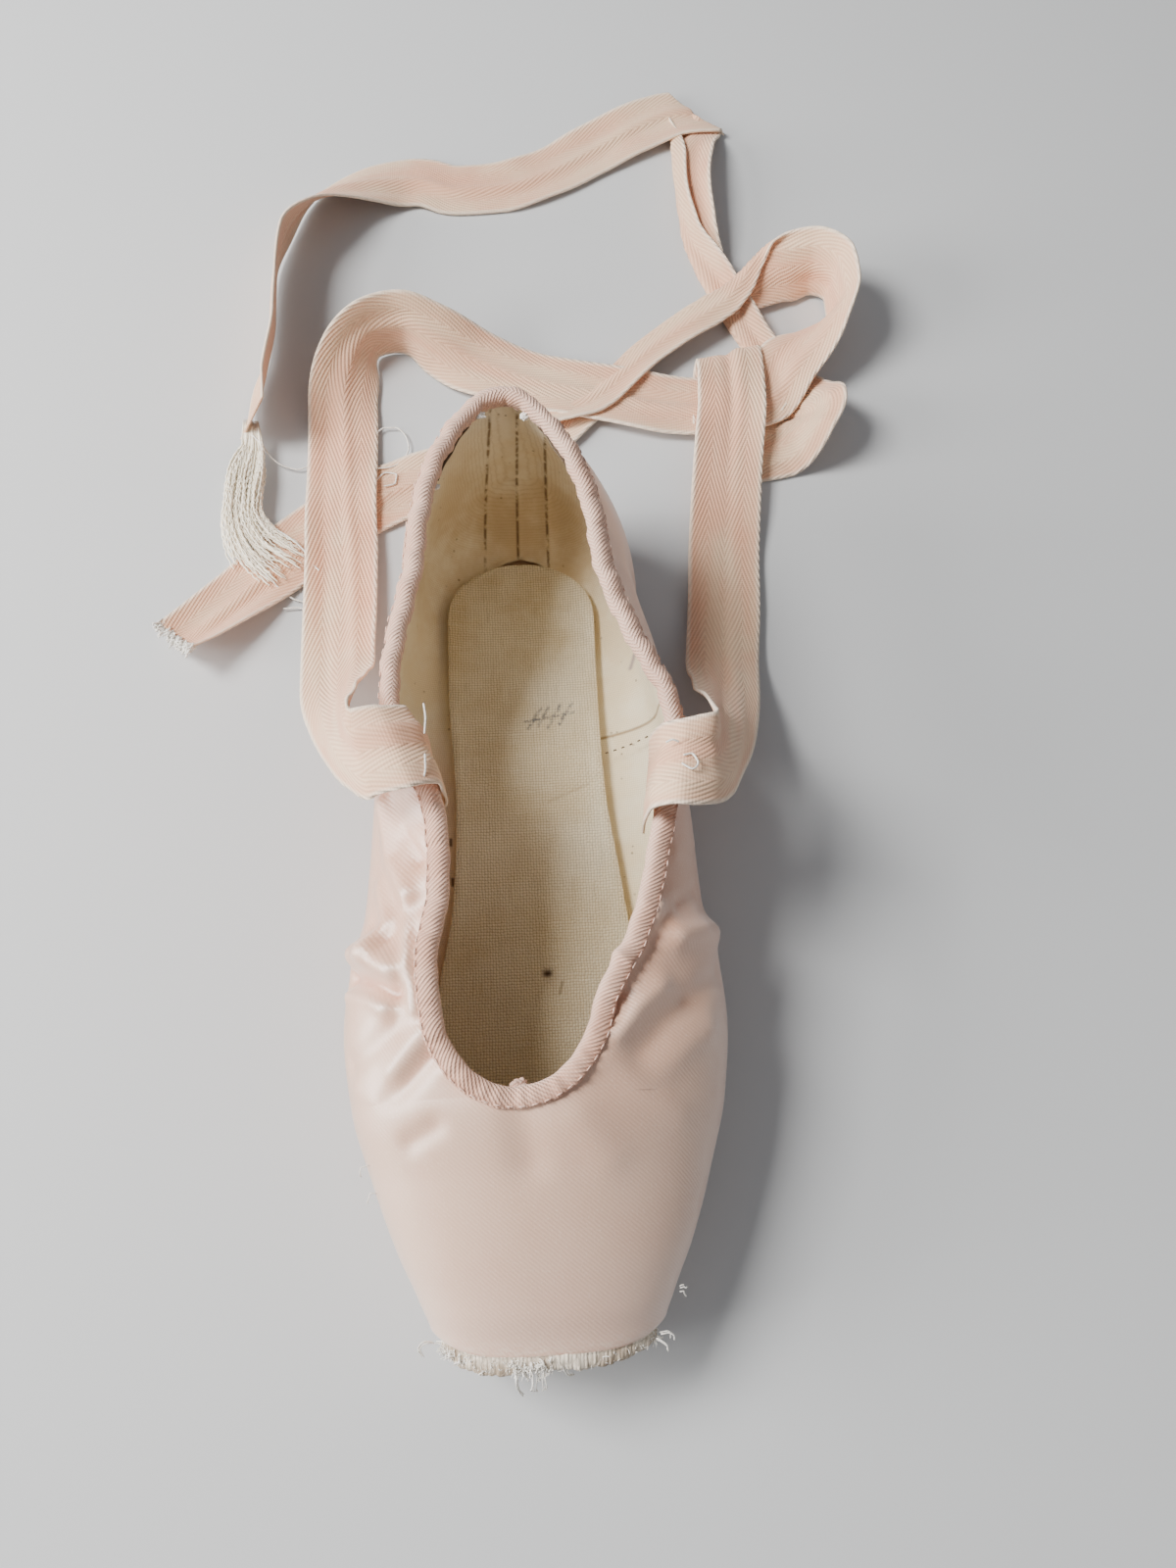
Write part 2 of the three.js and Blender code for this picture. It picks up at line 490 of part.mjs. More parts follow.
const RIBBON_RIGHT = [
  { x: 30, at: 130, z: 36, across: 81, tilt: 0, wide: 1 },
  { x: 29.6, at: 130, z: 45, across: 81, tilt: 0, wide: 1 },
  { x: 30.6, at: 130, z: 54.5, across: 81, tilt: 0, wide: 1 },
  { x: 37, at: 129.4, z: 59.8, across: 81, tilt: 0, wide: 1 },
  { x: 43.8, at: 130.6, z: 56.6, across: 86, tilt: 6, wide: 1 },
  { x: 48, at: 135, z: 48, across: 99, tilt: 14, wide: 1 },
  { x: 51.2, at: 144, z: 37, across: 118, tilt: 22, wide: 1 },
  { x: 54.3, at: 156, z: 24, across: 144, tilt: 20, wide: 1 },
  { x: 56.8, at: 170, z: 12, across: 164, tilt: 12, wide: 1 },
  { x: 59, at: 184, z: 5, across: 174, tilt: 4, wide: 1 },
  { x: 61, at: 198, z: 2.6, across: 176, tilt: 0, wide: 1 },
  { x: 63, at: 218, z: 1.6, across: 174, tilt: 0, wide: 1 },
  { x: 65.5, at: 240, z: 4, across: 174, tilt: 0, wide: 1 },
  { x: 68, at: 258, z: 5.2, across: 174, tilt: 0, wide: 1 },
  { x: 70.5, at: 276, z: 6, across: 182, tilt: 0, wide: 1 },
  { x: 71, at: 289, z: 6.4, across: 195, tilt: 0, wide: 1 },
  { x: 71, at: 294, z: 4.2, across: 197, tilt: 0, wide: 1 },
  { x: 70.5, at: 289.5, z: 1.7, across: 195, tilt: 0, wide: 1 },
  { x: 69, at: 276, z: 1.7, across: 180, tilt: 0, wide: 1 },
  { x: 68, at: 263, z: 1.9, across: 155, tilt: 0, wide: 1 },
  { x: 67.5, at: 257, z: 1.4, across: 135, tilt: 0, wide: 1 },
  { x: 73, at: 257, z: 0.8, across: 112, tilt: 0, wide: 1 },
  { x: 83, at: 258.5, z: 0.8, across: 102, tilt: 0, wide: 1 },
  { x: 88, at: 260, z: 0.7, across: 112, tilt: -8, wide: 1 },
  { x: 94.5, at: 264, z: 0.7, across: 134, tilt: -42, wide: 1 },
  { x: 97, at: 269, z: 0.7, across: 175, tilt: -46, wide: 1 },
  { x: 94.5, at: 277, z: 0.7, across: 207, tilt: -18, wide: 0.85 },
  { x: 90, at: 286, z: 0.7, across: 218, tilt: -6, wide: 0.65 },
  { x: 83, at: 298, z: 0.9, across: 220, tilt: 0, wide: 0.5 },
  { x: 76, at: 314, z: 0.9, across: 210, tilt: 0, wide: 0.5 },
  { x: 69, at: 333, z: 0.7, across: 195, tilt: -16, wide: 0.55 },
  { x: 66, at: 348, z: 0.8, across: 183, tilt: -35, wide: 0.65 },
  { x: 65.5, at: 365, z: 0.8, across: 177, tilt: -40, wide: 0.7 },
  { x: 67, at: 382, z: 0.8, across: 174, tilt: -25, wide: 0.75 },
  { x: 69, at: 396, z: 0.7, across: 158, tilt: -4, wide: 0.9 },
  { x: 69.5, at: 403.5, z: 1.9, across: 135, tilt: 0, wide: 1 },
  { x: 61, at: 402, z: 3, across: 118, tilt: 0, wide: 1 },
  { x: 46, at: 395.5, z: 2.6, across: 114, tilt: 0, wide: 1 },
  { x: 30, at: 386.5, z: 1, across: 118, tilt: 0, wide: 1 },
  { x: 14, at: 377, z: 0.9, across: 118, tilt: 0, wide: 1 },
  { x: -2, at: 371, z: 0.9, across: 103, tilt: 0, wide: 1 },
  { x: -17, at: 370, z: 0.9, across: 86, tilt: 0, wide: 1 },
  { x: -31, at: 373.5, z: 1.4, across: 84, tilt: 0, wide: 1 },
  { x: -45, at: 370.5, z: 0.8, across: 98, tilt: -14, wide: 1 },
  { x: -60, at: 362.5, z: 0.8, across: 124, tilt: -36, wide: 1 },
  { x: -69.5, at: 350, z: 0.8, across: 146, tilt: -62, wide: 1 },
  { x: -75, at: 335, z: 0.8, across: 166, tilt: -76, wide: 1 },
  { x: -77, at: 318, z: 0.8, across: 176, tilt: -76, wide: 1 },
  { x: -77, at: 301, z: 0.8, across: 182, tilt: -74, wide: 1 },
  { x: -79, at: 285, z: 0.8, across: 186, tilt: -70, wide: 1 },
  { x: -81.5, at: 266, z: 2.6, across: 186, tilt: -60, wide: 1 },
];
const FRAY = [
  { x: -82, at: 264, z: 3.6, across: 8, tilt: 10, wide: 1 },
  { x: -84.5, at: 250, z: 4, across: 4, tilt: 0, wide: 1 },
  { x: -85, at: 238, z: 3.8, across: -12, tilt: 0, wide: 1 },
  { x: -81, at: 227, z: 3.4, across: -40, tilt: 0, wide: 1 },
  { x: -73, at: 219.5, z: 3, across: -58, tilt: 0, wide: 1 },
];
const FRAY_WIDTH = 7;

// A closed band of a given width along a route, with so many steps between one row and the next.
function band(name, rows, width, steps, paint) {
  const table = rows.map((row, i) => ({ ...row, station: row.at, at: i }));
  const read = (k) => ({
    middle: new THREE.Vector3(
      column(table, "x", k),
      column(table, "station", k) - LENGTH / 2,
      column(table, "z", k),
    ),
    across: THREE.MathUtils.degToRad(column(table, "across", k)),
    tilt: THREE.MathUtils.degToRad(column(table, "tilt", k)),
  });
  const places = spread((rows.length - 1) * steps, 0, rows.length - 1);
  const corners = [];
  for (const k of places) {
    const { middle, across, tilt } = read(k);
    const ahead = read(Math.min(k + 0.05, rows.length - 1)).middle;
    const along = ahead.sub(read(Math.max(k - 0.05, 0)).middle).normalize();
    const level = Math.cos(tilt);
    const side = new THREE.Vector3(level * Math.cos(across), level * Math.sin(across), Math.sin(tilt));
    const face = new THREE.Vector3().crossVectors(along, side).normalize();
    const square = Math.max(0.6, new THREE.Vector3().crossVectors(along, side).length());
    const half = ((width / 2) * column(table, "wide", k)) / square;
    middle.z += half * Math.abs(Math.sin(tilt));
    for (const [u, v] of [[-1, -1], [1, -1], [1, 1], [-1, 1]]) {
      const corner = middle.clone().addScaledVector(side, u * half);
      corners.push(corner.addScaledVector(face, (v * RIBBON_THICKNESS) / 2).toArray());
    }
  }
  const end = 4 * (places.length - 1);
  const faces = [[3, 2, 1, 0], [end, end + 1, end + 2, end + 3]];
  for (let i = 0; i < end; i += 4) {
    // The two broad sides are split along the same diagonal, so that they stay apart where the
    // band twists.
    faces.push([i + 1, i + 5, i + 4, i], [i + 2, i + 3, i + 7, i + 6]);
    faces.push([i + 1, i + 2, i + 6, i + 5], [i + 3, i, i + 4, i + 7]);
  }
  return solid(name, corners, faces, paint);
}

// The tuft where the drawstring leaves the binding at the throat, tied in a flat knot.
function drawstringKnot() {
  const geometry = new THREE.IcosahedronGeometry(1, 2);
  geometry.scale(4.2, 2.6, 2.2);
  const knot = new THREE.Mesh(geometry, material(0xe6cdbb, 0.85));
  knot.name = "drawstring_knot";
  const { middle, out } = collarFrame(THROAT, 1);
  knot.position.copy(middle).addScaledVector(out, 5.6);
  return knot;
}

// ---- The shoe ----------------------------------------------------------------------------
const shoe = new THREE.Group();
shoe.name = "pointe_shoe";
const twill = material(0xe4cfba, 0.85);
shoe.add(upper(), outsole(), insole(), collarBinding(), drawstringKnot());
shoe.add(
  band("ribbon_left", RIBBON_LEFT, RIBBON_WIDTH, 2, twill),
  band("ribbon_right", RIBBON_RIGHT, RIBBON_WIDTH, 2, twill),
  band("ribbon_right_fray", FRAY, FRAY_WIDTH, 3, twill),
);

export default shoe;
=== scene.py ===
"""A worn pointe shoe with its two ribbons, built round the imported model."""
import math

import bmesh
import bpy
import numpy as np
from mathutils import Matrix, Vector


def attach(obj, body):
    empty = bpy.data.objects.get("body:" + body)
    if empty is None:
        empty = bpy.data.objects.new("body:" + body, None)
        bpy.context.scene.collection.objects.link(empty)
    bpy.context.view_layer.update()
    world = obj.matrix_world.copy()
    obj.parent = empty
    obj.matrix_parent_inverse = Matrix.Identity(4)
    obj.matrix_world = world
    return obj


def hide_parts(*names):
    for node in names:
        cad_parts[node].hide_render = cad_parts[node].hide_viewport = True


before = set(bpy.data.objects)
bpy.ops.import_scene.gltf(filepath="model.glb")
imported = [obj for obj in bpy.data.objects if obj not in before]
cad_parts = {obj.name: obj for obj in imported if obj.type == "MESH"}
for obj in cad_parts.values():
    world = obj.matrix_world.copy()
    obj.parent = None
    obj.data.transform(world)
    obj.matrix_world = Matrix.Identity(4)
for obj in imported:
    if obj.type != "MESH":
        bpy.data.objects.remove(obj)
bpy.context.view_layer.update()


# ---- Camera, floor and light ----
# The shoe is seen from above its vamp, looking down and a little back along the foot, so that
# the whole inside shows. A wide soft window stands on the shoe's left and lights a pale floor.
EYE = (0, -0.08488, 0.31363)
LENS_MM = 26.55
FILM_MM = 36
EYE_RIGHT = (0.99798, -0.05291, 0.03502)
EYE_UP = (0.03781, 0.93913, 0.34147)
EYE_BACK = (-0.05096, -0.33946, 0.93924)
FLOOR_REACH = 9.0
FLOOR_LEVEL = -0.0004


def camera():
    """A camera whose own axes are the three unit vectors above."""
    lens = bpy.data.cameras.new("camera")
    lens.lens = LENS_MM
    lens.sensor_width = FILM_MM
    lens.sensor_fit = "AUTO"
    lens.clip_start = 0.01
    eye = bpy.data.objects.new("camera", lens)
    turn = Matrix([EYE_RIGHT, EYE_UP, EYE_BACK]).transposed()
    eye.matrix_world = Matrix.Translation(EYE) @ turn.to_4x4()
    bpy.context.collection.objects.link(eye)
    return eye


# Each light is a name, a place, the point that it faces, the side of its square in metres, its
# watts and its colour.
LIGHTS = [
    ("window", (-0.72, 0.24, 0.86), (0, 0.02, 0), 0.42, 21, (1, 0.985, 0.96)),
    ("low_window", (-1.1, -0.1, 0.34), (0, -0.02, 0.03), 0.6, 21, (1, 0.985, 0.96)),
    ("bounce", (0.9, -0.7, 0.7), (0, 0, 0), 1.0, 1.6, (1, 0.96, 0.93)),
]
FLOOR_COLOUR = (0.56, 0.57, 0.58, 1)
ROOM_COLOUR = (0.92, 0.95, 1, 1)
ROOM_STRENGTH = 0.27


def area_light(name, place, aim, size, watts, colour):
    """A square soft box at a place, turned to face another."""
    light = bpy.data.lights.new(name, "AREA")
    light.shape = "SQUARE"
    light.size = size
    light.energy = watts
    light.color = colour
    lamp = bpy.data.objects.new(name, light)
    turn = (Vector(place) - Vector(aim)).to_track_quat("Z", "Y").to_matrix()
    lamp.matrix_world = Matrix.Translation(place) @ turn.to_4x4()
    bpy.context.collection.objects.link(lamp)


def floor():
    """A plain pale sheet, far wider than the view."""
    mesh = bpy.data.meshes.new("floor")
    r, z = FLOOR_REACH, FLOOR_LEVEL
    mesh.from_pydata([(-r, -r, z), (r, -r, z), (r, r, z), (-r, r, z)], [], [(0, 1, 2, 3)])
    sheet = bpy.data.objects.new("floor", mesh)
    bpy.context.collection.objects.link(sheet)
    paper = bpy.data.materials.new("pale_paper")
    paper.use_nodes = True
    shader = paper.node_tree.nodes["Principled BSDF"]
    shader.inputs["Base Color"].default_value = FLOOR_COLOUR
    shader.inputs["Roughness"].default_value = 0.85
    mesh.materials.append(paper)


bpy.context.scene.camera = camera()
floor()
for one in LIGHTS:
    area_light(*one)
world = bpy.data.worlds.new("room")
world.use_nodes = True
air = world.node_tree.nodes["Background"]
air.inputs["Color"].default_value = ROOM_COLOUR
air.inputs["Strength"].default_value = ROOM_STRENGTH
bpy.context.scene.world = world


# ---- Ribbons ----
# Two 22 mm cotton herringbone tapes, each sewn inside the collar at the midfoot. They spill over
# the collar and lie loose behind the heel, creased and in places doubled along their middle.
# Routes are in millimetres, a row for each place: x and at (from the platform) of the tape's
# middle, z of its middle where level and of its lower edge where it tilts, across the heading of
# its width and tilt how far that points up, in degrees, and wide the share of the width it shows.
# A row that stops short lies flat, or shows its whole width.
MM = 0.001
SHOE_LENGTH = 235
RIBBON_WIDTH = 22
RIBBON_THICKNESS = 0.75
FRAY_WIDTH = 7
ROUTE = "x at z across tilt wide"
FLAT, WHOLE = 0, 1
RIBBON_LEFT = [
    (-25.4, 138, 37, 112), (-23.8, 138, 45, 112), (-24.6, 138, 54.5, 112), (-31.5, 136, 59.6, 111),
    (-39, 135.6, 56.2, 105, 5), (-43.8, 141, 48, 88, 16), (-47.5, 150, 37, 66, 24),
    (-50.5, 161, 24, 40, 22), (-53, 175, 12, 16, 12), (-54.3, 190, 5, 3, 4), (-54.5, 206, 3.1, 0),
    (-54.5, 222, 2.8, 0), (-55, 240, 2.8, 0), (-55, 264, 1.6, 0), (-55, 278, 1.3, -2, -10),
    (-52, 291, 0.8, -12, -45), (-45, 300, 1, -50, -75), (-36, 302, 1.1, -88, -72),
    (-25, 298, 1, -112, -45), (-11, 292, 1.9, -118, -12), (9, 285, 3, -114), (30, 280, 3, -108),
    (50, 275, 3.1, -94), (67, 274, 3.1, -84), (81, 277.5, 2.9, -66), (91, 289.5, 4.8, -48, 12),
    (102, 300, 1.7, -38, 45), (109.5, 310, 0.9, -8, 72), (109, 320, 1, 42, 75),
    (101, 326, 1.1, 88, 60), (90, 324, 2.3, 112, 35, 0.9), (78, 318, 3.3, 124, 8, 0.6),
    (63, 309, 2.4, 129, 4, 0.45), (45, 296, 1.2, 130, 0, 0.45), (28, 279, 0.9, 129, 0, 0.5),
    (8, 264, 0.9, 123, 0, 0.8), (-15, 254, 0.9, 110), (-38, 246, 0.9, 103), (-58, 235, 0.9, 118),
    (-73, 222, 0.9, 130), (-88, 206, 0.7, 133, -8), (-100, 193, 1, 136, -20),
]
RIBBON_RIGHT = [
    (30, 130, 36, 81), (29.6, 130, 45, 81), (30.6, 130, 54.5, 81), (37, 129.4, 59.8, 81),
    (43.8, 130.6, 56.6, 86, 6), (48, 135, 48, 99, 14), (51.2, 144, 37, 118, 22),
    (54.3, 156, 24, 144, 20), (56.8, 170, 12, 164, 12), (59, 184, 5, 174, 4), (61, 198, 2.6, 176),
    (63, 218, 1.6, 174), (65.5, 240, 4, 174), (68, 258, 5.2, 174), (70.5, 276, 6, 182),
    (71, 289, 6.4, 195), (71, 294, 4.2, 197), (70.5, 289.5, 1.7, 195), (69, 276, 1.7, 180),
    (68, 263, 1.9, 155), (67.5, 257, 1.4, 135), (73, 257, 0.8, 112), (83, 258.5, 0.8, 102),
    (88, 260, 0.7, 112, -8), (94.5, 264, 0.7, 134, -42), (97, 269, 0.7, 175, -46),
    (94.5, 277, 0.7, 207, -18, 0.85), (90, 286, 0.7, 218, -6, 0.65), (83, 298, 0.9, 220, 0, 0.5),
    (76, 314, 0.9, 210, 0, 0.5), (69, 333, 0.7, 195, -16, 0.55), (66, 348, 0.8, 183, -35, 0.65),
    (65.5, 365, 0.8, 177, -40, 0.7), (67, 382, 0.8, 174, -25, 0.75), (69, 396, 0.7, 158, -4, 0.9),
    (69.5, 403.5, 1.9, 135), (61, 402, 3, 118), (46, 395.5, 2.6, 114), (30, 386.5, 1, 118),
    (14, 377, 0.9, 118), (-2, 371, 0.9, 103), (-17, 370, 0.9, 86), (-31, 373.5, 1.4, 84),
    (-45, 370.5, 0.8, 98, -14), (-60, 362.5, 0.8, 124, -36), (-69.5, 350, 0.8, 146, -62),
    (-75, 335, 0.8, 166, -76), (-77, 318, 0.8, 176, -76), (-77, 301, 0.8, 182, -74),
    (-79, 285, 0.8, 186, -70), (-81.5, 266, 2.6, 186, -60),
]
FRAY = [
    (-82, 264, 3.6, 8, 10), (-84.5, 250, 4, 4), (-85, 238, 3.8, -12), (-81, 227, 3.4, -40),
    (-73, 219.5, 3, -58),
]


def table(names, rows):
    """Named columns out of a list of rows."""
    return dict(zip(names.split(), np.array(rows, float).T))


def column(stations, values, at):
    """The value at each distance, by cubics between the rows. A row's slope is the harmonic mean
    of the rises on its two sides, or nothing at the ends and at a turning point."""
    rise = np.diff(values) / np.diff(stations)
    product, total = rise[:-1] * rise[1:], rise[:-1] + rise[1:]
    slope = np.zeros(len(stations))
    slope[1:-1] = np.where(product > 0, 2 * product / np.where(total == 0, 1, total), 0)
    at = np.clip(at, stations[0], stations[-1])
    i = np.clip(np.searchsorted(stations, at, side="right") - 1, 0, len(stations) - 2)
    run = stations[i + 1] - stations[i]
    t = (at - stations[i]) / run
    blend = values[i] * (1 + 2 * t) * (1 - t) ** 2 + values[i + 1] * t * t * (3 - 2 * t)
    return blend + run * t * (1 - t) * (slope[i] * (1 - t) - slope[i + 1] * t)


def unit(v):
    """Vectors scaled to length one."""
    return v / np.maximum(np.linalg.norm(v, axis=-1, keepdims=True), 1e-9)


def arc_along(points):
    """Distances along a line of points."""
    return np.concatenate([[0], np.cumsum(np.linalg.norm(np.diff(points, axis=0), axis=1))])


def at_distances(points, arc, want):
    """The points of a line at wanted distances along it."""
    return np.stack([np.interp(want, arc, points[:, k]) for k in range(3)], axis=-1)


def route_frames(rows, width, per_row):
    """The middles of a tape along its route, with its side and face directions and half width."""
    rows = table(ROUTE, [row + (FLAT, WHOLE)[len(row) - 4:] for row in rows])
    index = np.arange(len(rows["x"]), dtype=float)
    last = len(index) - 1

    def middle(k):
        x, at, z = (column(index, rows[name], k) for name in ("x", "at", "z"))
        return np.stack([x, at - SHOE_LENGTH / 2, z], axis=-1)

    k = np.linspace(0, last, last * per_row + 1)
    along = unit(middle(np.minimum(k + 0.05, last)) - middle(np.maximum(k - 0.05, 0)))
    across = np.radians(column(index, rows["across"], k))
    tilt = np.radians(column(index, rows["tilt"], k))
    side = np.stack([np.cos(tilt) * np.cos(across), np.cos(tilt) * np.sin(across),
                     np.sin(tilt)], axis=-1)
    square = np.maximum(0.6, np.linalg.norm(np.cross(along, side), axis=1))
    face = unit(np.cross(along, side))
    wide = column(index, rows["wide"], k)
    at = middle(k)
    at[:, 2] += width / 2 * wide / square * np.abs(np.sin(tilt))
    return {"middle": at, "along": along, "side": side, "face": face, "wide": wide,
            "square": square, "arc": arc_along(at)}


def mesh_object(name, points, faces, uv=None, marks=None):
    """A mesh object from points in millimetres and an array of four-sided faces. uv holds a pair
    for each point, and marks a material number for each face."""
    mesh = bpy.data.meshes.new(name)
    faces = np.asarray(faces)
    mesh.vertices.add(len(points))
    mesh.vertices.foreach_set("co", (np.asarray(points) * MM).astype(np.float32).ravel())
    mesh.loops.add(faces.size)
    mesh.loops.foreach_set("vertex_index", faces.astype(np.int32).ravel())
    mesh.polygons.add(len(faces))
    starts = np.arange(0, faces.size, faces.shape[1], dtype=np.int32)
    mesh.polygons.foreach_set("loop_start", starts)
    mesh.polygons.foreach_set("use_smooth", np.full(len(faces), True))
    if marks is not None:
        mesh.polygons.foreach_set("material_index", np.asarray(marks, np.int32))
    if uv is not None:
        layer = mesh.uv_layers.new(name="cloth")
        layer.data.foreach_set("uv", np.asarray(uv)[faces].astype(np.float32).ravel())
    mesh.update(calc_edges=True)
    piece = bpy.data.objects.new(name, mesh)
    bpy.context.collection.objects.link(piece)
    return piece


def grid_faces(rows, columns, closed_columns=False):
    """The four-sided faces of a grid of points, whose rows may close on themselves."""
    wrap = columns if closed_columns else columns - 1
    i, j = np.meshgrid(np.arange(rows - 1), np.arange(wrap), indexing="ij")
    j2 = (j + 1) % columns
    return np.stack([i * columns + j, i * columns + j2, (i + 1) * columns + j2,
                     (i + 1) * columns + j], axis=-1).reshape(-1, 4)


def bell(away, width):
    """1 where away is nothing, falling off on both sides: e to the minus (away / width) squared."""
    return np.exp(-((away / width) ** 2))


# How a tape lies, in millimetres and degrees: the curl of its far end and how much that draws
# the edges in, the fold's angle and roundness and the hidden share at which it is complete, the
# space kept under it, its cup, and the length over which the cup and creases ease in.
CURL_LENGTH = 42.0
TAIL_CURL = 4.2
TAIL_DRAW = 0.05
STRIPS = 25
FOLD_ANGLE = 168
FOLD_ROUND = 0.42
FOLD_STARTS = 0.16
CLEAR_OF_FLOOR = 0.25
CUP = 1.2
FREE_END = 12


def tape_object(name, route, width, seed, curl=0):
    """A tape laid along a route. Across its width it is a strip that turns back on itself where
    it is doubled: its heading bends by up to a straight angle about the fold line, and the strip
    is the sum of its small steps. It cups a little, its edges wave, two soft creases wander along
    it, and its far end curls up by a square rule over its last part."""
    across = np.linspace(-0.5, 0.5, STRIPS)[None, :] * width
    arc = route["arc"][:, None]
    wide = route["wide"][:, None]
    bend = np.radians(FOLD_ANGLE) * np.clip((1 - wide) / FOLD_STARTS, 0, 1)
    fold_line = (wide - 0.5) * width - 0.4
    turn = bend / (1 + np.exp(np.clip(-(across - fold_line) / FOLD_ROUND, -60, 60)))
    step = width / (STRIPS - 1)
    outward = np.cumsum(np.cos(turn), axis=1) * step
    upward = np.cumsum(np.sin(turn), axis=1) * step
    middle = (outward.max(axis=1, keepdims=True) + outward.min(axis=1, keepdims=True)) / 2
    outward = (outward - middle) / np.where(wide > 0.99, route["square"][:, None], 1)
    share = across / (width / 2)
    wave = np.sin(arc / 7.3 + seed) + 0.7 * np.sin(arc / 4.1 + 2 * seed + 1)
    other_wave = np.sin(arc / 8.9 + 2.2 * seed) + 0.6 * np.sin(arc / 5.3 + seed)
    edge = np.where(share > 0, wave, other_wave) * share ** 2 * 0.5
    crease = (0.55 * bell(share + 0.32 - 0.2 * np.sin(arc / 43 + 2 * seed), 0.2)
              - 0.7 * bell(share - 0.2 - 0.3 * np.sin(arc / 60 + seed), 0.17))
    tail = np.clip((arc - arc.max()) / CURL_LENGTH + 1, 0, 1)
    outward *= 1 - TAIL_DRAW * curl * tail
    ease = np.clip(np.minimum(arc, arc.max() - arc) / FREE_END, 0, 1)
    lap = np.where(route["face"][:, 2:] < 0, -1, 1)
    upward = upward * lap + (edge + crease + CUP * (share ** 2 - 0.4)
                             * np.sin(arc / 31 + seed)) * ease
    upward += curl * share ** 2 * tail * lap
    sheet = (route["middle"][:, None] + route["side"][:, None] * outward[..., None]
             + route["face"][:, None] * upward[..., None])
    sheet[..., 2] = np.maximum(sheet[..., 2], CLEAR_OF_FLOOR + RIBBON_THICKNESS / 2)
    slope = unit(np.cross(np.gradient(sheet, axis=0), np.gradient(sheet, axis=1)))
    front = sheet + slope * RIBBON_THICKNESS / 2
    back = sheet - slope * RIBBON_THICKNESS / 2
    ring = np.concatenate([front, back[:, ::-1]], axis=1)
    ring[..., 2] = np.maximum(ring[..., 2], CLEAR_OF_FLOOR)
    rows, columns = ring.shape[:2]
    faces = grid_faces(rows, columns, closed_columns=True)
    cap = np.arange(STRIPS - 1)
    first = np.stack([cap, columns - 1 - cap, columns - 2 - cap, cap + 1], axis=-1)
    final = first[:, ::-1] + (rows - 1) * columns
    v = np.concatenate([across[0], across[0, ::-1]])
    uv = np.stack(np.broadcast_arrays(arc, v[None, :]), axis=-1).reshape(-1, 2)
    return mesh_object(name, ring.reshape(-1, 3), np.concatenate([faces, first, final]), uv)


class Value:
    """A node's output that can be added to, taken from, multiplied and divided like a number."""

    def __init__(self, shader, socket):
        self.shader, self.socket = shader, socket

    def __add__(self, other):
        return self.shader.math("ADD", self, other)

    def __sub__(self, other):
        return self.shader.math("SUBTRACT", self, other)

    def __rsub__(self, other):
        return self.shader.math("SUBTRACT", other, self)

    def __mul__(self, other):
        return self.shader.math("MULTIPLY", self, other)

    def __truediv__(self, other):
        return self.shader.math("DIVIDE", self, other)


class Shader:
    """A short way of writing a shader tree: each call adds a node and gives back an output."""

    def __init__(self, tree):
        self.tree = tree

    def link(self, value, socket):
        self.tree.links.new(value.socket, socket)

    def node(self, kind, inputs=(), output=0, **settings):
        node = self.tree.nodes.new("ShaderNode" + kind)
        for name, value in settings.items():
            setattr(node, name, value)
        for socket, value in dict(inputs).items():
            if isinstance(value, Value):
                self.link(value, node.inputs[socket])
            else:
                node.inputs[socket].default_value = value
        return Value(self, node.outputs[output])

    def use(self, tree, where, **settings):
        """A node group placed in this tree: its two outputs."""
        node = self.tree.nodes.new("ShaderNodeGroup")
        node.node_tree = tree
        for name, value in settings.items():
            node.inputs[name].default_value = value
        self.link(where, node.inputs["Vector"])
        return Value(self, node.outputs[0]), Value(self, node.outputs[1])

    def math(self, operation, a, b=0.0, clamp=False):
        return self.node("Math", {0: a, 1: b}, operation=operation, use_clamp=clamp)

    def mix(self, share, a, b):
        return self.node("Mix", {0: share, 6: a, 7: b}, output=2, data_type="RGBA")

    def noise(self, where, scale, detail=3.0, rough=0.55):
        return self.node("TexNoise", {"Vector": where, "Scale": scale, "Detail": detail,
                                      "Roughness": rough})

    def ramp(self, value, low, high):
        """0 below low and 1 above high, smoothly between."""
        return self.node("MapRange", {0: value, 1: low, 2: high}, interpolation_type="SMOOTHSTEP")

    def axis(self, where, k):
        """One of a place's three coordinates."""
        return self.node("SeparateXYZ", {0: where}, output=k)

    def stretch(self, where, *scale):
        """A place with each coordinate multiplied by its own number."""
        return self.node("Mapping", {"Vector": where, "Scale": scale})

    def paint(self, colour, *layers):
        """A colour under layers, each given by where it lies, how strongly, and its colour."""
        for where, strength, tone in layers:
            colour = self.mix(where * strength, colour, tone)
        return colour


def group(name, takes, gives):
    """An empty node group with named sockets: its tree's writer, what it takes and gives."""
    tree = bpy.data.node_groups.new(name, "ShaderNodeTree")
    for label, (kind, default) in takes.items():
        socket = tree.interface.new_socket(label, in_out="INPUT", socket_type="NodeSocket" + kind)
        if default is not None:
            socket.default_value = default
    for label, kind in gives.items():
        tree.interface.new_socket(label, in_out="OUTPUT", socket_type="NodeSocket" + kind)
    s, ends = Shader(tree), tree.nodes.new("NodeGroupOutput")
    return s, [Value(s, socket) for socket in tree.nodes.new("NodeGroupInput").outputs
               if socket.name], ends.inputs


def rgb(red, green, blue):
    """A display colour, 0 to 255, as the linear colour that a shader takes."""
    c = np.array([red, green, blue]) / 255
    linear = np.where(c <= 0.04045, c / 12.92, ((c + 0.055) / 1.055) ** 2.4)
    return (*linear.tolist(), 1.0)


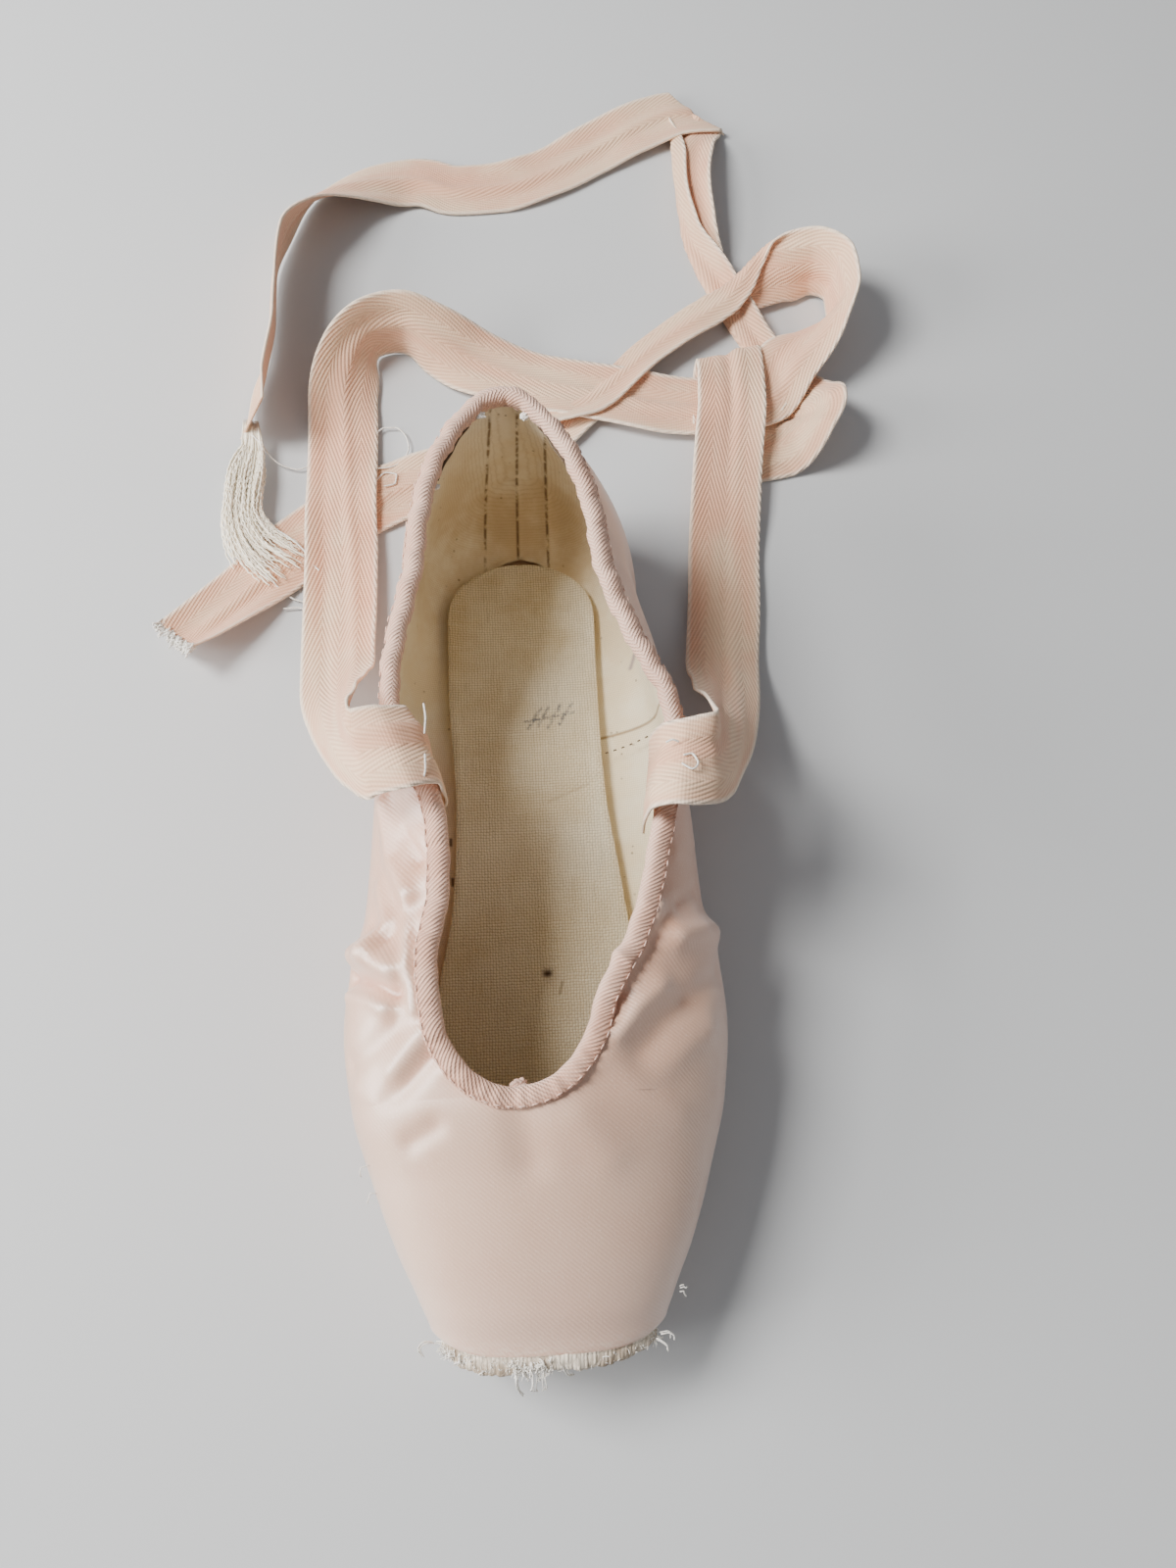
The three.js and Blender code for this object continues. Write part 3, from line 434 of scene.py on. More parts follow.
def herringbone_group():
    """Twill whose ribs slant one way in one stripe and the other way in the next. The phase of
    the ribs is the distance square to them, with the place across folded back at each stripe."""
    s, (where, stripe, pitch, slant), gives = group(
        "herringbone", {"Vector": ("Vector", None), "Stripe": ("Float", 5.5),
                        "Pitch": ("Float", 1.05), "Slant": ("Float", 0.32)},
        {"Height": "Float", "Groove": "Float"})
    along, across = (s.axis(where, k) for k in (0, 1))
    fold = s.math("PINGPONG", across, stripe)
    square = fold * s.math("COSINE", slant) - along * s.math("SINE", slant)
    rib = s.math("SINE", square / pitch * (2 * math.pi))
    cross = s.math("SINE", along / pitch * 9.0)
    height = rib * 0.42 + cross * 0.12 + 0.5
    s.link(height, gives["Height"])
    s.link(1.0 - s.ramp(height, 0.1, 0.75), gives["Groove"])
    return s.tree


def cloth_material(name, rough=0.9, sheen=0.25, sheen_tint=(1, 0.9, 0.85, 1)):
    """A matt cloth with its sheen set: the tree's writer, and the place on the cloth, in
    millimetres, and in the room, in metres."""
    material = bpy.data.materials.new(name)
    material.use_nodes = True
    shader = material.node_tree.nodes["Principled BSDF"]
    shader.inputs["Roughness"].default_value = rough
    shader.inputs["Sheen Weight"].default_value = sheen
    shader.inputs["Sheen Roughness"].default_value = 0.5
    shader.inputs["Sheen Tint"].default_value = sheen_tint
    shader.inputs["Specular IOR Level"].default_value = 0.25
    s = Shader(material.node_tree)
    s.material, s.shader = material, shader
    return s, s.node("UVMap", uv_map="cloth"), s.node("TexCoord", output=3)


def finish_cloth(s, colour, height, strength, distance, rough=None):
    """Links a colour, a bump height and a roughness to the shader, and gives the material."""
    shader = s.shader
    bump = s.node("Bump", {"Height": height, "Strength": strength, "Distance": distance})
    s.link(colour, shader.inputs["Base Color"])
    s.link(bump, shader.inputs["Normal"])
    if rough is not None:
        s.link(rough, shader.inputs["Roughness"])
    return s.material


herringbone = herringbone_group()


def ribbon_material():
    """Cream-peach cotton: pinker in the middle of the folds, bleached along both edges, with
    painted shade in the grooves of its twill.
    """
    s, cloth, place = cloth_material("ribbon_twill", sheen=0.35)
    rib, groove = s.use(herringbone, cloth)
    across = s.axis(cloth, 1)
    edge = s.ramp(s.math("ABSOLUTE", across), RIBBON_WIDTH / 2 - 1.6, RIBBON_WIDTH / 2)
    stretched = s.stretch(cloth, 0.012, 0.09, 1)
    blotch = s.noise(stretched, 1.0, 4.0, 0.6)
    cloud = s.noise(place, 26.0, 3.0)
    colour = s.mix(s.ramp(blotch, 0.36, 0.66), rgb(233, 182, 150), rgb(240, 208, 174))
    colour = s.paint(
        colour,
        (s.ramp(cloud, 0.46, 0.68), 0.6, rgb(229, 168, 136)),
        # Painted shade in the grooves of the twill.
        (groove, 0.34, rgb(186, 132, 104)),
        (edge, 0.7, rgb(248, 234, 214)))
    return finish_cloth(s, colour, rib, 0.55, 0.0004)


def dress(piece, slot, node, *materials):
    """Gives a piece its materials and body, and hides the imported part that it stands for, if any.
    Its slot is not used.
    """
    for material in materials:
        piece.data.materials.append(material)
    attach(piece, "root")
    if node:
        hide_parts(node)
    return piece


ribbon_twill = ribbon_material()
ROWS_BETWEEN = 12
left_route = route_frames(RIBBON_LEFT, RIBBON_WIDTH, ROWS_BETWEEN)
right_route = route_frames(RIBBON_RIGHT, RIBBON_WIDTH, ROWS_BETWEEN)
ribbon_left = dress(tape_object("ribbon_left_tape", left_route, RIBBON_WIDTH, 0.4, TAIL_CURL),
                    "ribbon_twill", "ribbon_left", ribbon_twill)
ribbon_right = dress(tape_object("ribbon_right_tape", right_route, RIBBON_WIDTH, 2.1),
                     "ribbon_twill", "ribbon_right", ribbon_twill)


# ---- Upper ----
# Pale peach satin over canvas, drawn over a straight last and stiffened with paste at the toe,
# with a cream canvas lining inside. It is turned under and held by the outsole, its platform is
# worn down to the canvas, and the soft sides have collapsed into folds beside the vamp.
BALL_WIDTH = 95
HEEL_HEIGHT = 60
WALL = 2
BOX_WALL = 3.6
PLATFORM_WALL = 6
SOLE = 3
SOLE_MARGIN = 7
GAP = 0.3
THROAT = 56
THROAT_REACH = 18
HEEL_START = 190
HEEL_SEAT_END = 213
TOE_CURVE_REACH = 36
TOP_POWER = 2.2
BOTTOM_POWER = 3.4
PROFILE_STEPS = 66
HEEL_TUCK = 23
HEEL_LIFT = 4.4
HEEL_OPENING = 0.6
MOST_OPEN = 0.985
PLATFORM_CURVE = 5
BOX_ENDS = (30, 56)
LAST = table("at width seat belly opening crown lean", [
    (0, 0.57, 6.5, 17.5, 0.4, 0.48, 0),
    (10, 0.63, 5.9, 18, 0.4, 0.555, -0.5),
    (22, 0.73, 5, 18.5, 0.4, 0.63, -1.5),
    (38, 0.845, 3.9, 19, 0.4, 0.71, -3.2),
    (56, 0.955, 3.3, 20, 0.36, 0.785, -5),
    (75, 1, 3.3, 21, 0.404, 0.785, -4.5),
    (90, 0.975, 3.3, 21.5, 0.498, 0.785, -0.8),
    (103, 0.9, 3.8, 22, 0.52, 0.79, 3),
    (125, 0.868, 5.9, 23, 0.595, 0.82, 5.2),
    (148, 0.83, 6.9, 24, 0.734, 0.86, 1.4),
    (170, 0.755, 5.5, 24, 0.61, 0.9, -2.3),
    (190, 0.68, 3.3, 24.5, 0.504, 0.95, -3.2),
])
OUTSOLE_SHAPE = table("at half", [(27, 21), (50, 28.5), (75, 30), (105, 25), (145, 18.5),
                                  (180, 20.5), (221, 20)])
OUTSOLE_ENDS = (14, 22)


def clamp(v):
    """Values kept from 0 to 1."""
    return np.clip(v, 0, 1)


def last_column(name, at):
    """A named column of the last at distances from the platform."""
    return column(LAST["at"], LAST[name], at)


def section(at, inset):
    """The last's cross-sections at distances, outside (inset 0) or inside (inset 1). Above the
    belly a section is a superellipse that ends at the collar's edge, and the inner one lies a
    wall's thickness inside it, along its normal there."""
    at = np.asarray(at, float)
    heel = clamp((at - HEEL_START) / (SHOE_LENGTH - HEEL_START))
    edge = 1 - 0.08 * clamp(1 - at / 3) ** 2
    half = last_column("width", at) * BALL_WIDTH / 2 * np.sqrt(np.maximum(0, 1 - heel ** 2.3))
    belly = last_column("belly", at)
    seat = last_column("seat", at) + (HEEL_TUCK - SOLE) * clamp((at - HEEL_SEAT_END) / 22) ** 3
    crown = last_column("crown", at) * HEEL_HEIGHT + HEEL_LIFT * heel
    opened = last_column("opening", at) / last_column("width", at) * (1 - heel)
    opened = opened + HEEL_OPENING * heel
    fade = clamp((at - THROAT) / THROAT_REACH)
    share = np.minimum(opened * np.sqrt(1 - (1 - fade) ** 2), MOST_OPEN)
    half, seat = half * edge, belly - (belly - seat) * edge
    crown = belly + (crown - belly) * edge
    s = {"at": at, "half": half, "belly": belly, "seat": seat, "share": share,
         "crown": crown, "lean": last_column("lean", at)}
    if inset:
        wall = BOX_WALL + (WALL - BOX_WALL) * clamp((at - BOX_ENDS[0]) / np.ptp(BOX_ENDS))
        rise = top_rise(s)
        nx = share ** (TOP_POWER - 1) / np.maximum(half, 1e-6)
        nz = ((crown - belly) / rise) ** (TOP_POWER - 1) / rise
        size, thin = np.hypot(nx, nz), clamp(half / 12)
        inner = half - wall * thin
        s["share"] = np.where(inner > 1e-6, (share * half - wall * nx / size * thin)
                              / np.maximum(inner, 1e-6), share)
        s.update(half=inner, seat=seat + wall, crown=crown - wall * nz / size,
                 at=at + clamp(1 - at / TOE_CURVE_REACH) * PLATFORM_WALL - heel * WALL)
    return s


def top_rise(s):
    """The height above the belly of the superellipse that passes through the collar's edge."""
    return (s["crown"] - s["belly"]) / (1 - s["share"] ** TOP_POWER) ** (1 / TOP_POWER)


def placed(s, side, x, z, scale=1.0):
    """Points of sections in the shoe's own frame: the top leans over, and the platform curves
    back towards its corners by the fourth power of the place across."""
    up = clamp((z - s["belly"]) / (s["crown"] - s["belly"]))
    across = scale * x / np.maximum(s["half"], 1e-6)
    bend = PLATFORM_CURVE * clamp(1 - s["at"] / TOE_CURVE_REACH) ** 1.5
    return np.stack(np.broadcast_arrays(side * scale * x + s["lean"] * up ** 1.5,
                                        s["at"] - SHOE_LENGTH / 2 + bend * across ** 4,
                                        s["belly"] + scale * (z - s["belly"])), axis=-1)


def plate_half(shape, at, toe_reach, heel_reach):
    """Half the width of a sole at a distance, with its two ends rounded off."""
    toe = clamp(1 - (at - shape["at"][0]) / toe_reach)
    heel = clamp(1 - (shape["at"][-1] - at) / heel_reach)
    return column(shape["at"], shape["half"], at) * np.sqrt(
        np.maximum(0, 1 - toe ** 2.4) * np.maximum(0, 1 - heel ** 2.2))


def bottom_opening(at):
    """Half of the opening under the foot, which the outsole covers."""
    half = plate_half(OUTSOLE_SHAPE, at, *OUTSOLE_ENDS) - SOLE_MARGIN
    inside = (at >= OUTSOLE_SHAPE["at"][0]) & (at <= OUTSOLE_SHAPE["at"][-1])
    return np.where(inside & (half > 4), half, 0)


def half_profile(s, opening, steps):
    """Half sections from the opening below up to the collar, evenly spaced by their length."""
    start = np.arcsin(clamp(opening / np.maximum(s["half"], 1e-6)) ** (BOTTOM_POWER / 2))
    end = np.arccos(s["share"] ** (TOP_POWER / 2))
    t = np.linspace(0, 1, 60)[None, :]
    a = start[:, None] + (np.pi / 2 - start[:, None]) * t
    b = end[:, None] * t[:, 1:]
    half, belly = s["half"][:, None], s["belly"][:, None]
    drop, rise = belly - s["seat"][:, None], top_rise(s)[:, None]
    x = np.concatenate([half * np.sin(a) ** (2 / BOTTOM_POWER),
                        half * np.maximum(0, np.cos(b)) ** (2 / TOP_POWER)], axis=1)
    z = np.concatenate([belly - drop * np.maximum(0, np.cos(a)) ** (2 / BOTTOM_POWER),
                        belly + rise * np.sin(b) ** (2 / TOP_POWER)], axis=1)
    length = np.cumsum(np.hypot(np.diff(x, axis=1), np.diff(z, axis=1)), axis=1)
    length = np.concatenate([np.zeros((len(x), 1)), length], axis=1)
    want = length[:, -1:] * np.linspace(0, 1, steps + 1)[None, :]
    i = np.clip((length[:, None, :] < want[..., None] - 1e-9).sum(-1), 1, length.shape[1] - 1)

    def pick(values, index):
        return np.take_along_axis(values, index, axis=1)

    t = (want - pick(length, i - 1)) / np.maximum(pick(length, i) - pick(length, i - 1), 1e-9)
    t = clamp(t)
    return (pick(x, i - 1) * (1 - t) + pick(x, i) * t, pick(z, i - 1) * (1 - t) + pick(z, i) * t,
            want)


# Folds of the satin: how far each stands out (or in, below zero), how wide it is, and the line
# that it follows, as x, at and z in millimetres.
FOLDS = [
    # left: the pinch beside the throat and the hollows round it
    (3.0, 2.5, [(-45, 87, 30), (-41, 84.5, 38), (-33, 80.4, 43.7)]),
    (-1.9, 2.3, [(-44, 82.5, 32), (-39, 81, 39), (-35, 77.5, 43)]),
    (-3.3, 3.4, [(-43, 92, 32), (-40, 91, 38), (-33.5, 85.5, 43.5)]),
    (1.7, 1.8, [(-41, 99.5, 35), (-39, 98.7, 40), (-36, 94.5, 42.5)]),
    (-3.4, 3.0, [(-38, 129, 38), (-36.8, 114, 41), (-30.5, 104, 45)]),
    (2.0, 1.8, [(-32, 119, 44), (-30, 116, 45), (-27.5, 111.6, 46)]),
    (-2.3, 2.4, [(-39, 108, 37), (-36, 98, 41), (-39, 90, 37)]),
    (-1.6, 1.6, [(-31, 104.5, 44.5), (-30, 92, 45), (-28, 76, 46)]),
    (1.5, 2.8, [(-33.5, 57, 40), (-29, 61.5, 44), (-24, 66, 46.5)]),
    (-1.4, 2.6, [(-32.5, 63, 42), (-30, 66, 44), (-26.6, 69.8, 46)]),
    (-1.3, 3.0, [(-40, 60.5, 33), (-33.4, 56.5, 39)]),
    (1.4, 3.0, [(-43, 66, 33), (-38, 68.5, 39), (-33, 72.5, 43)]),
    (0.9, 2.4, [(-24, 50, 44), (-30, 47, 41)]),
    # right: soft ridges that run forward from the binding
    (2.1, 2.6, [(27.5, 90, 46), (21.5, 81, 46.5), (16.5, 72, 47)]),
    (-2.4, 2.8, [(29.5, 79, 44.5), (24, 75, 46), (18, 68.5, 47)]),
    (1.7, 3.2, [(35, 75.5, 40), (30, 71, 43.5), (24, 64, 46)]),
    (-1.2, 3.4, [(40.5, 70, 34), (37, 67, 39), (30, 60, 44)]),
    (1.3, 3.4, [(44.5, 84, 29), (41, 80.5, 35), (38, 77, 38)]),
    (-1.0, 3.6, [(15.5, 63, 47), (27.4, 55, 44.5), (34, 50, 40)]),
    (-1.8, 1.7, [(29.5, 98, 46), (27.6, 91.7, 46.6), (21.4, 79.8, 47)]),
    (-2.9, 3.4, [(42.5, 94, 30), (39.5, 93.5, 36), (34, 91.5, 42)]),
    (1.2, 2.4, [(39, 103, 36), (35, 99, 42)]),
    (-1.0, 2.2, [(38.5, 116, 36), (34, 112, 43)]),
    (0.8, 2.4, [(37.5, 128, 36), (35, 122, 43)]),
    # left and right quarters and the heel: long shallow dents
    (-0.9, 5.0, [(-37, 150, 30), (-36, 165, 38), (-32, 180, 44)]),
    (0.8, 4.0, [(-36, 158, 26), (-34, 176, 34), (-29, 192, 40)]),
    (-0.9, 5.0, [(36, 150, 28), (33, 168, 36), (28, 186, 44)]),
    (0.7, 4.0, [(34, 160, 24), (30, 180, 32), (24, 198, 38)]),
    (-0.7, 4.0, [(-14, 228, 34), (0, 234, 32), (13, 229, 36)]),
    # the vamp's ridge over the throat
    (0.9, 4.5, [(-5, 55, 47.5), (-3, 42, 44)]),
    (-0.7, 5.0, [(9, 50, 46.5), (15, 42, 43)]),
]


def distance_to_line(points, line):
    """Distance of each point from a line of straight pieces: the least over the pieces, with
    the foot of the perpendicular kept between a piece's two ends."""
    best = np.full(points.shape[:-1], np.inf)
    for a, b in zip(line[:-1], line[1:]):
        d = b - a
        t = clamp(((points - a) @ d) / (d @ d))
        best = np.minimum(best, np.linalg.norm(points - a - t[..., None] * d, axis=-1))
    return best


def relief(points, girth):
    """How far the satin stands off the last at each point: the folds, each a bell about its
    line, the pull of the binding's seam, pleats under the toe, and the cloth's slack."""
    x, at, z = points[..., 0], points[..., 1] + SHOE_LENGTH / 2, points[..., 2]
    plain = np.stack([x, at, z], axis=-1)
    total = np.zeros(x.shape)
    for height, width, line in FOLDS:
        total += height * bell(distance_to_line(plain, np.array(line, float)), width)
    soft = clamp((at - 78) / 20)
    seam = bell(np.maximum(0, girth), 6) * clamp((at - 54) / 8)
    total += seam * (0.3 * np.sin(at / 1.45 + 0.6 * np.sin(at / 5)) - 0.25)
    total += (0.28 * np.sin(x / 7 + at / 13) * np.sin(z / 6 - at / 17)) * soft
    total += 0.1 * np.sin(x / 9 + 1) * np.sin(at / 11)
    under = clamp((15 - z) / 7) * clamp((64 - at) / 18) * clamp(at / 9)
    ray = np.arctan2(x, 70 - at)
    total += under * (0.75 * np.abs(np.sin(17 * ray + 0.6 * np.sin(5 * ray))) - 0.4)
    rear = clamp((12 - z) / 8) * clamp((at - 200) / 12)
    total += rear * 0.35 * np.abs(np.sin(15 * np.arctan2(x, at - 196)))
    return total


# The heel's lining is closed by three seams: each one's place across where z is nothing, and how
# far it moves across for each millimetre up.
HEEL_SEAMS = [(-11.15, 0.08), (-0.8, 0.025), (8.55, -0.014)]


def heel_grooves(points):
    """Grooves along the heel's seams: bells across each seam's line, at the back only."""
    x, at, z = points[..., 0], points[..., 1] + SHOE_LENGTH / 2, points[..., 2]
    depth = sum(0.55 * bell(x - start - rise * z, 0.9) for start, rise in HEEL_SEAMS)
    return depth * clamp((at - 204) / 6)


def upper_surfaces():
    """The four grids of the upper, outer and inner for each side, from the platform's middle to
    the back of the heel, with the folds laid on, and their texture places."""
    toe = np.array([0, 0.25, 0.6, 1, 1.6, 2.3, 3])
    front = np.arange(4, THROAT, 1.15)
    ring = THROAT + THROAT_REACH * np.linspace(0, 1, 22) ** 2
    middle = np.arange(THROAT + THROAT_REACH + 1.1, HEEL_START, 1.1)
    heel = HEEL_START + (SHOE_LENGTH - HEEL_START) * np.sin(np.linspace(0, np.pi / 2, 40))
    rings = np.array([0.03, 0.2, 0.4, 0.58, 0.74, 0.87, 0.95])
    at = np.concatenate([np.zeros(len(rings)), toe, front, ring, middle, heel])
    scale = np.concatenate([rings, np.ones(len(at) - len(rings))])
    opening = bottom_opening(at)
    outer = section(at, 0)
    closed_top = outer["share"] * outer["half"] < 0.01
    shells = []
    for inset in (0, 1):
        s = section(at, inset)
        x, z, girth = half_profile(s, opening, PROFILE_STEPS)
        tall = {name: values[:, None] for name, values in s.items()}
        shells.append([placed(tall, side, x, z, scale[:, None]) for side in (1, -1)])
        if not inset:
            from_collar = girth[:, -1:] - girth
    normals = [unit(np.cross(np.gradient(p, axis=1), np.gradient(p, axis=0)))
               * (-1 if side else 1) for side, p in enumerate(shells[0])]
    for rows, columns in ((closed_top, -1), (opening == 0, 0)):
        joined = unit(normals[0][rows, columns] + normals[1][rows, columns])
        normals[0][rows, columns] = normals[1][rows, columns] = joined
    back = unit(normals[0][-1] + normals[1][-1])
    normals[0][-1] = normals[1][-1] = back
    flat = clamp((at - 1) / 5)[:, None]
    for side in (0, 1):
        lift = relief(shells[0][side], np.where(closed_top[:, None], 40, from_collar)) * flat
        for shell in shells:
            shell[side] = shell[side] + normals[side] * lift[..., None]
        shells[1][side] += normals[side] * heel_grooves(shells[1][side])[..., None]
    across = from_collar + (outer["share"] * outer["half"])[:, None]
    uv = [np.stack(np.broadcast_arrays(at[:, None] + 0 * across, sign * across), -1)
          for sign in (1, -1)]
    return shells, uv, at, scale, closed_top, opening


def weld(piece, reach=0.02):
    """Merges a piece's doubled points and turns its faces outwards."""
    work = bmesh.new()
    work.from_mesh(piece.data)
    bmesh.ops.remove_doubles(work, verts=work.verts, dist=reach * MM)
    bmesh.ops.recalc_face_normals(work, faces=work.faces)
    work.to_mesh(piece.data)
    work.free()


def upper_object():
    """The four grids as one closed shell, joined along the collar and round the opening below.
    Its materials are satin outside, lining inside and bare canvas over the platform."""
    shells, uv, at, scale, closed_top, opening = upper_surfaces()
    rows, columns = shells[0][0].shape[:2]
    size = rows * columns
    grid = grid_faces(rows, columns)
    worn = np.repeat((at[:-1] < 0.9) & (scale[:-1] <= 1), columns - 1)
    faces = [grid[:, ::-1], grid + size, grid + 2 * size, grid[:, ::-1] + 3 * size]
    marks = [np.where(worn, 2, 0)] * 2 + [np.ones(len(grid), int)] * 2

    def strip(rows_used, column, flip):
        """The faces that join the outer and inner shells along one column, on both sides."""
        i = np.flatnonzero(rows_used[:-1] | rows_used[1:])
        a, b = i * columns + column, (i + 1) * columns + column
        right = np.stack([a, b, b + 2 * size, a + 2 * size], axis=-1)
        return [right[:, ::-1] if flip else right, (right if flip else right[:, ::-1]) + size]

    for used, column, flip in ((~closed_top, columns - 1, False), (opening > 0, 0, True)):
        for piece in strip(used, column, flip):
            faces.append(piece)
            marks.append(np.ones(len(piece), int))
    j = np.arange(columns - 1)
    middle = np.stack([j, j + 1, j + 1 + size, j + size], axis=-1)
    faces += [middle, middle[:, ::-1] + 2 * size]
    marks += [np.full(len(j), 2), np.ones(len(j), int)]
    points = np.concatenate([p.reshape(-1, 3) for shell in shells for p in shell])
    coords = np.concatenate([c.reshape(-1, 2) for c in uv] * 2)
    piece = mesh_object("upper_satin", points, np.concatenate(faces), coords,
                        np.concatenate(marks))
    weld(piece)
    return piece


def satin_material():
    """Satin: a smooth sheen with the twill's fine lines, paler where it is stretched over the box,
    with painted shade that browns it towards the back, down in the folds and along its edge at
    the platform, a painted highlight on the folds' ridges and painted glints, and with scuffs
    round the platform and a few dull marks."""
    s, cloth, place = cloth_material("peach_satin", sheen=0.5, sheen_tint=(1, 0.93, 0.9, 1))
    s.shader.inputs["Specular IOR Level"].default_value = 1.0
    s.shader.inputs["Coat Roughness"].default_value = 0.44
    s.shader.inputs["Coat Weight"].default_value = 1.0
    along = s.axis(cloth, 0)
    across = s.axis(cloth, 1)
    twill = s.math("SINE", along * 5.6 + across * 5.2)
    slub = s.noise(s.stretch(cloth, 0.25, 2.2, 1), 1.0, 2.0)
    cloud = s.noise(place, 22.0, 4.0)
    blotch = s.noise(place, 60.0, 3.0, 0.7)
    colour = s.mix(s.ramp(cloud, 0.35, 0.7), rgb(220, 181, 155), rgb(212, 167, 139))
    soft = s.ramp(along, 62.0, 100.0)
    toe = 1.0 - s.ramp(along, 2.0, 34.0)
    pits = s.node("NewGeometry", output=7)
    fold = 1.0 - s.ramp(pits, 0.4, 0.5)
    spark = s.noise(cloth, 1.9, 2.0)
    hem_shade = (1.0 - s.ramp(along, 0.7, 1.7)) * s.ramp(cloud, 0.4, 0.55)
    scuff = s.noise(s.stretch(cloth, 1.4, 0.35, 1), 1.0, 5.0, 0.7)
    near = 1.0 - s.ramp(along, 0.5, 6.0)
    worn = near * s.ramp(scuff, 0.45, 0.6)
    rough = slub * 0.16 + worn * 0.3 + 0.36
    height = twill * 0.3 + (slub * 0.5 + spark * 0.6)
    colour = s.paint(
        colour,
        # Painted shade: the satin browns from 62 mm back, over the soft sides.
        (soft, 0.55, rgb(208, 146, 110)),
        (toe, 0.35, rgb(228, 196, 180)),
        # Painted shade: orange-brown in the hollows of the folds, found by the pointiness.
        (fold, 0.7, rgb(176, 96, 54)),
        # Painted highlight: paler on the convex ridges of the folds.
        (s.ramp(pits, 0.51, 0.57), 0.25, rgb(247, 226, 214)),
        (s.ramp(blotch, 0.66, 0.8), 0.25, rgb(205, 165, 150)),
        (twill * 0.5 + 0.5, 0.1, rgb(188, 138, 116)),
        # Painted glints: pale specks from the same noise that also roughens the bump.
        (s.ramp(spark, 0.55, 0.75), 0.3, rgb(246, 226, 212)),
        # Painted shade: dark orange in patches along the satin's edge at the platform.
        (hem_shade, 0.8, rgb(170, 100, 62)),
        (worn, 0.3, rgb(232, 222, 206)))
    return finish_cloth(s, colour, height, 0.22, 0.00025, rough)


def weave_group():
    """Plain weave: threads going over and under in turn. The height is a share of the product
    of two sines, one for each set of threads, whose sign says which is on top, and a larger
    share of its size."""
    s, (where, pitch), gives = group(
        "plain_weave", {"Vector": ("Vector", None), "Pitch": ("Float", 0.6)},
        {"Height": "Float", "Gap": "Float"})
    drift = s.noise(where, 0.35, 2.0)
    threads = [s.math("SINE", (s.axis(where, k) / pitch + drift)
                      * math.pi) for k in (0, 1)]
    over = threads[0] * threads[1]
    swell = s.math("ABSOLUTE", over)
    s.link(swell * 0.7 + over * 0.3, gives["Height"])
    s.link(1.0 - s.ramp(swell, 0.05, 0.5), gives["Gap"])
    return s.tree


plain_weave = weave_group()


def near_line(s, place, a, b, width):
    """1 on the line from a to b seen from above, fading to 0 at a width, all in millimetres: the
    distance is from the foot of the perpendicular, kept between the line's two ends."""
    a, b = (np.array([p[0], p[1] - SHOE_LENGTH / 2, 0]) * MM for p in (a, b))
    d = b - a
    flat = s.node("VectorMath", {0: place, 1: (1, 1, 0)}, operation="MULTIPLY")
    off = s.node("VectorMath", {0: flat, 1: tuple(a)}, operation="SUBTRACT")
    t = s.node("VectorMath", {0: off, 1: tuple(d / (d @ d))}, output=1, operation="DOT_PRODUCT")
    t = s.math("ADD", t, 0.0, clamp=True)
    foot = s.node("VectorMath", {0: tuple(d), "Scale": t}, operation="SCALE")
    away = s.node("VectorMath", {0: off, 1: foot}, output=1, operation="DISTANCE")
    return 1.0 - s.ramp(away, 0.0, width * MM)


def marked(s, place, colour, marks):
    """A colour with marks on it: each runs from one point to another, both given across and
    along, and has its own width, strength and colour."""
    return s.paint(colour, *((near_line(s, place, a, b, width), strength, tone)
                             for a, b, width, strength, tone in marks))


LINING_MARKS = [
    ((19.5, 156), (36, 158.5), 0.8, 0.75, rgb(128, 100, 66)),
    ((30.4, 176), (31.4, 178.5), 1.0, 0.6, rgb(92, 70, 110)),
    ((-21.7, 115.5), (-21.7, 117), 0.9, 0.8, rgb(70, 52, 40)),
    ((-22, 126.5), (-22, 128), 0.8, 0.8, rgb(70, 52, 40)),
]


def lining_material():
    """Cream canvas, darker yellow-brown low down and towards the heel, with dark specks and painted
    shade in the gaps of its weave.
    """
    s, cloth, place = cloth_material("lining_canvas", rough=0.95, sheen=0.1)
    x, y, z = (s.axis(place, k) for k in range(3))
    height, gap = s.use(plain_weave, cloth, Pitch=0.62)
    cloud = s.noise(place, 45.0, 5.0, 0.65)
    colour = s.mix(s.ramp(cloud, 0.35, 0.65), rgb(240, 230, 204), rgb(232, 216, 182))
    low = 1.0 - s.ramp(z, 0.012, 0.05)
    heel = s.ramp(y, 0.045, 0.11)
    seam = [s.math("ABSOLUTE", x - (z * rise + start * MM)) for start, rise in HEEL_SEAMS]
    seam = s.math("MINIMUM", s.math("MINIMUM", seam[0], seam[1]), seam[2])
    # Darker yellow-brown towards the heel, most of all low down.
    heel_low_darkening = heel * (low * 0.8 + 0.25) * s.ramp(cloud, 0.2, 0.65)
    colour = s.mix(s.math("MULTIPLY", heel_low_darkening, 0.95, clamp=True), colour, rgb(204, 182, 146))
    pink = (1.0 - s.ramp(x, -0.03, -0.012)) * (1.0 - s.ramp(y, 0.02, 0.05))
    speck = s.node("TexVoronoi", {"Vector": place, "Scale": 330.0, "Randomness": 1.0})
    some = s.ramp(s.noise(place, 90.0, 2.0), 0.5, 0.62)
    dots = (1.0 - s.ramp(speck, 0.1, 0.16)) * some
    broken = s.ramp(s.noise(place, 400.0, 2.0), 0.3, 0.6)
    line = (1.0 - s.ramp(seam, 0.0001, 0.0007)) * broken * s.ramp(y, 0.087, 0.092)
    colour = s.paint(
        colour,
        (pink, 0.5, rgb(226, 180, 158)),
        (dots, 0.6, rgb(96, 76, 58)),
        (line, 0.85, rgb(96, 72, 46)))
    colour = marked(s, place, colour, LINING_MARKS)
    # Painted shade in the gaps between the threads.
    colour = s.paint(colour, (gap, 0.22, rgb(150, 124, 84)))
    return finish_cloth(s, colour, height, 0.3, 0.0003)


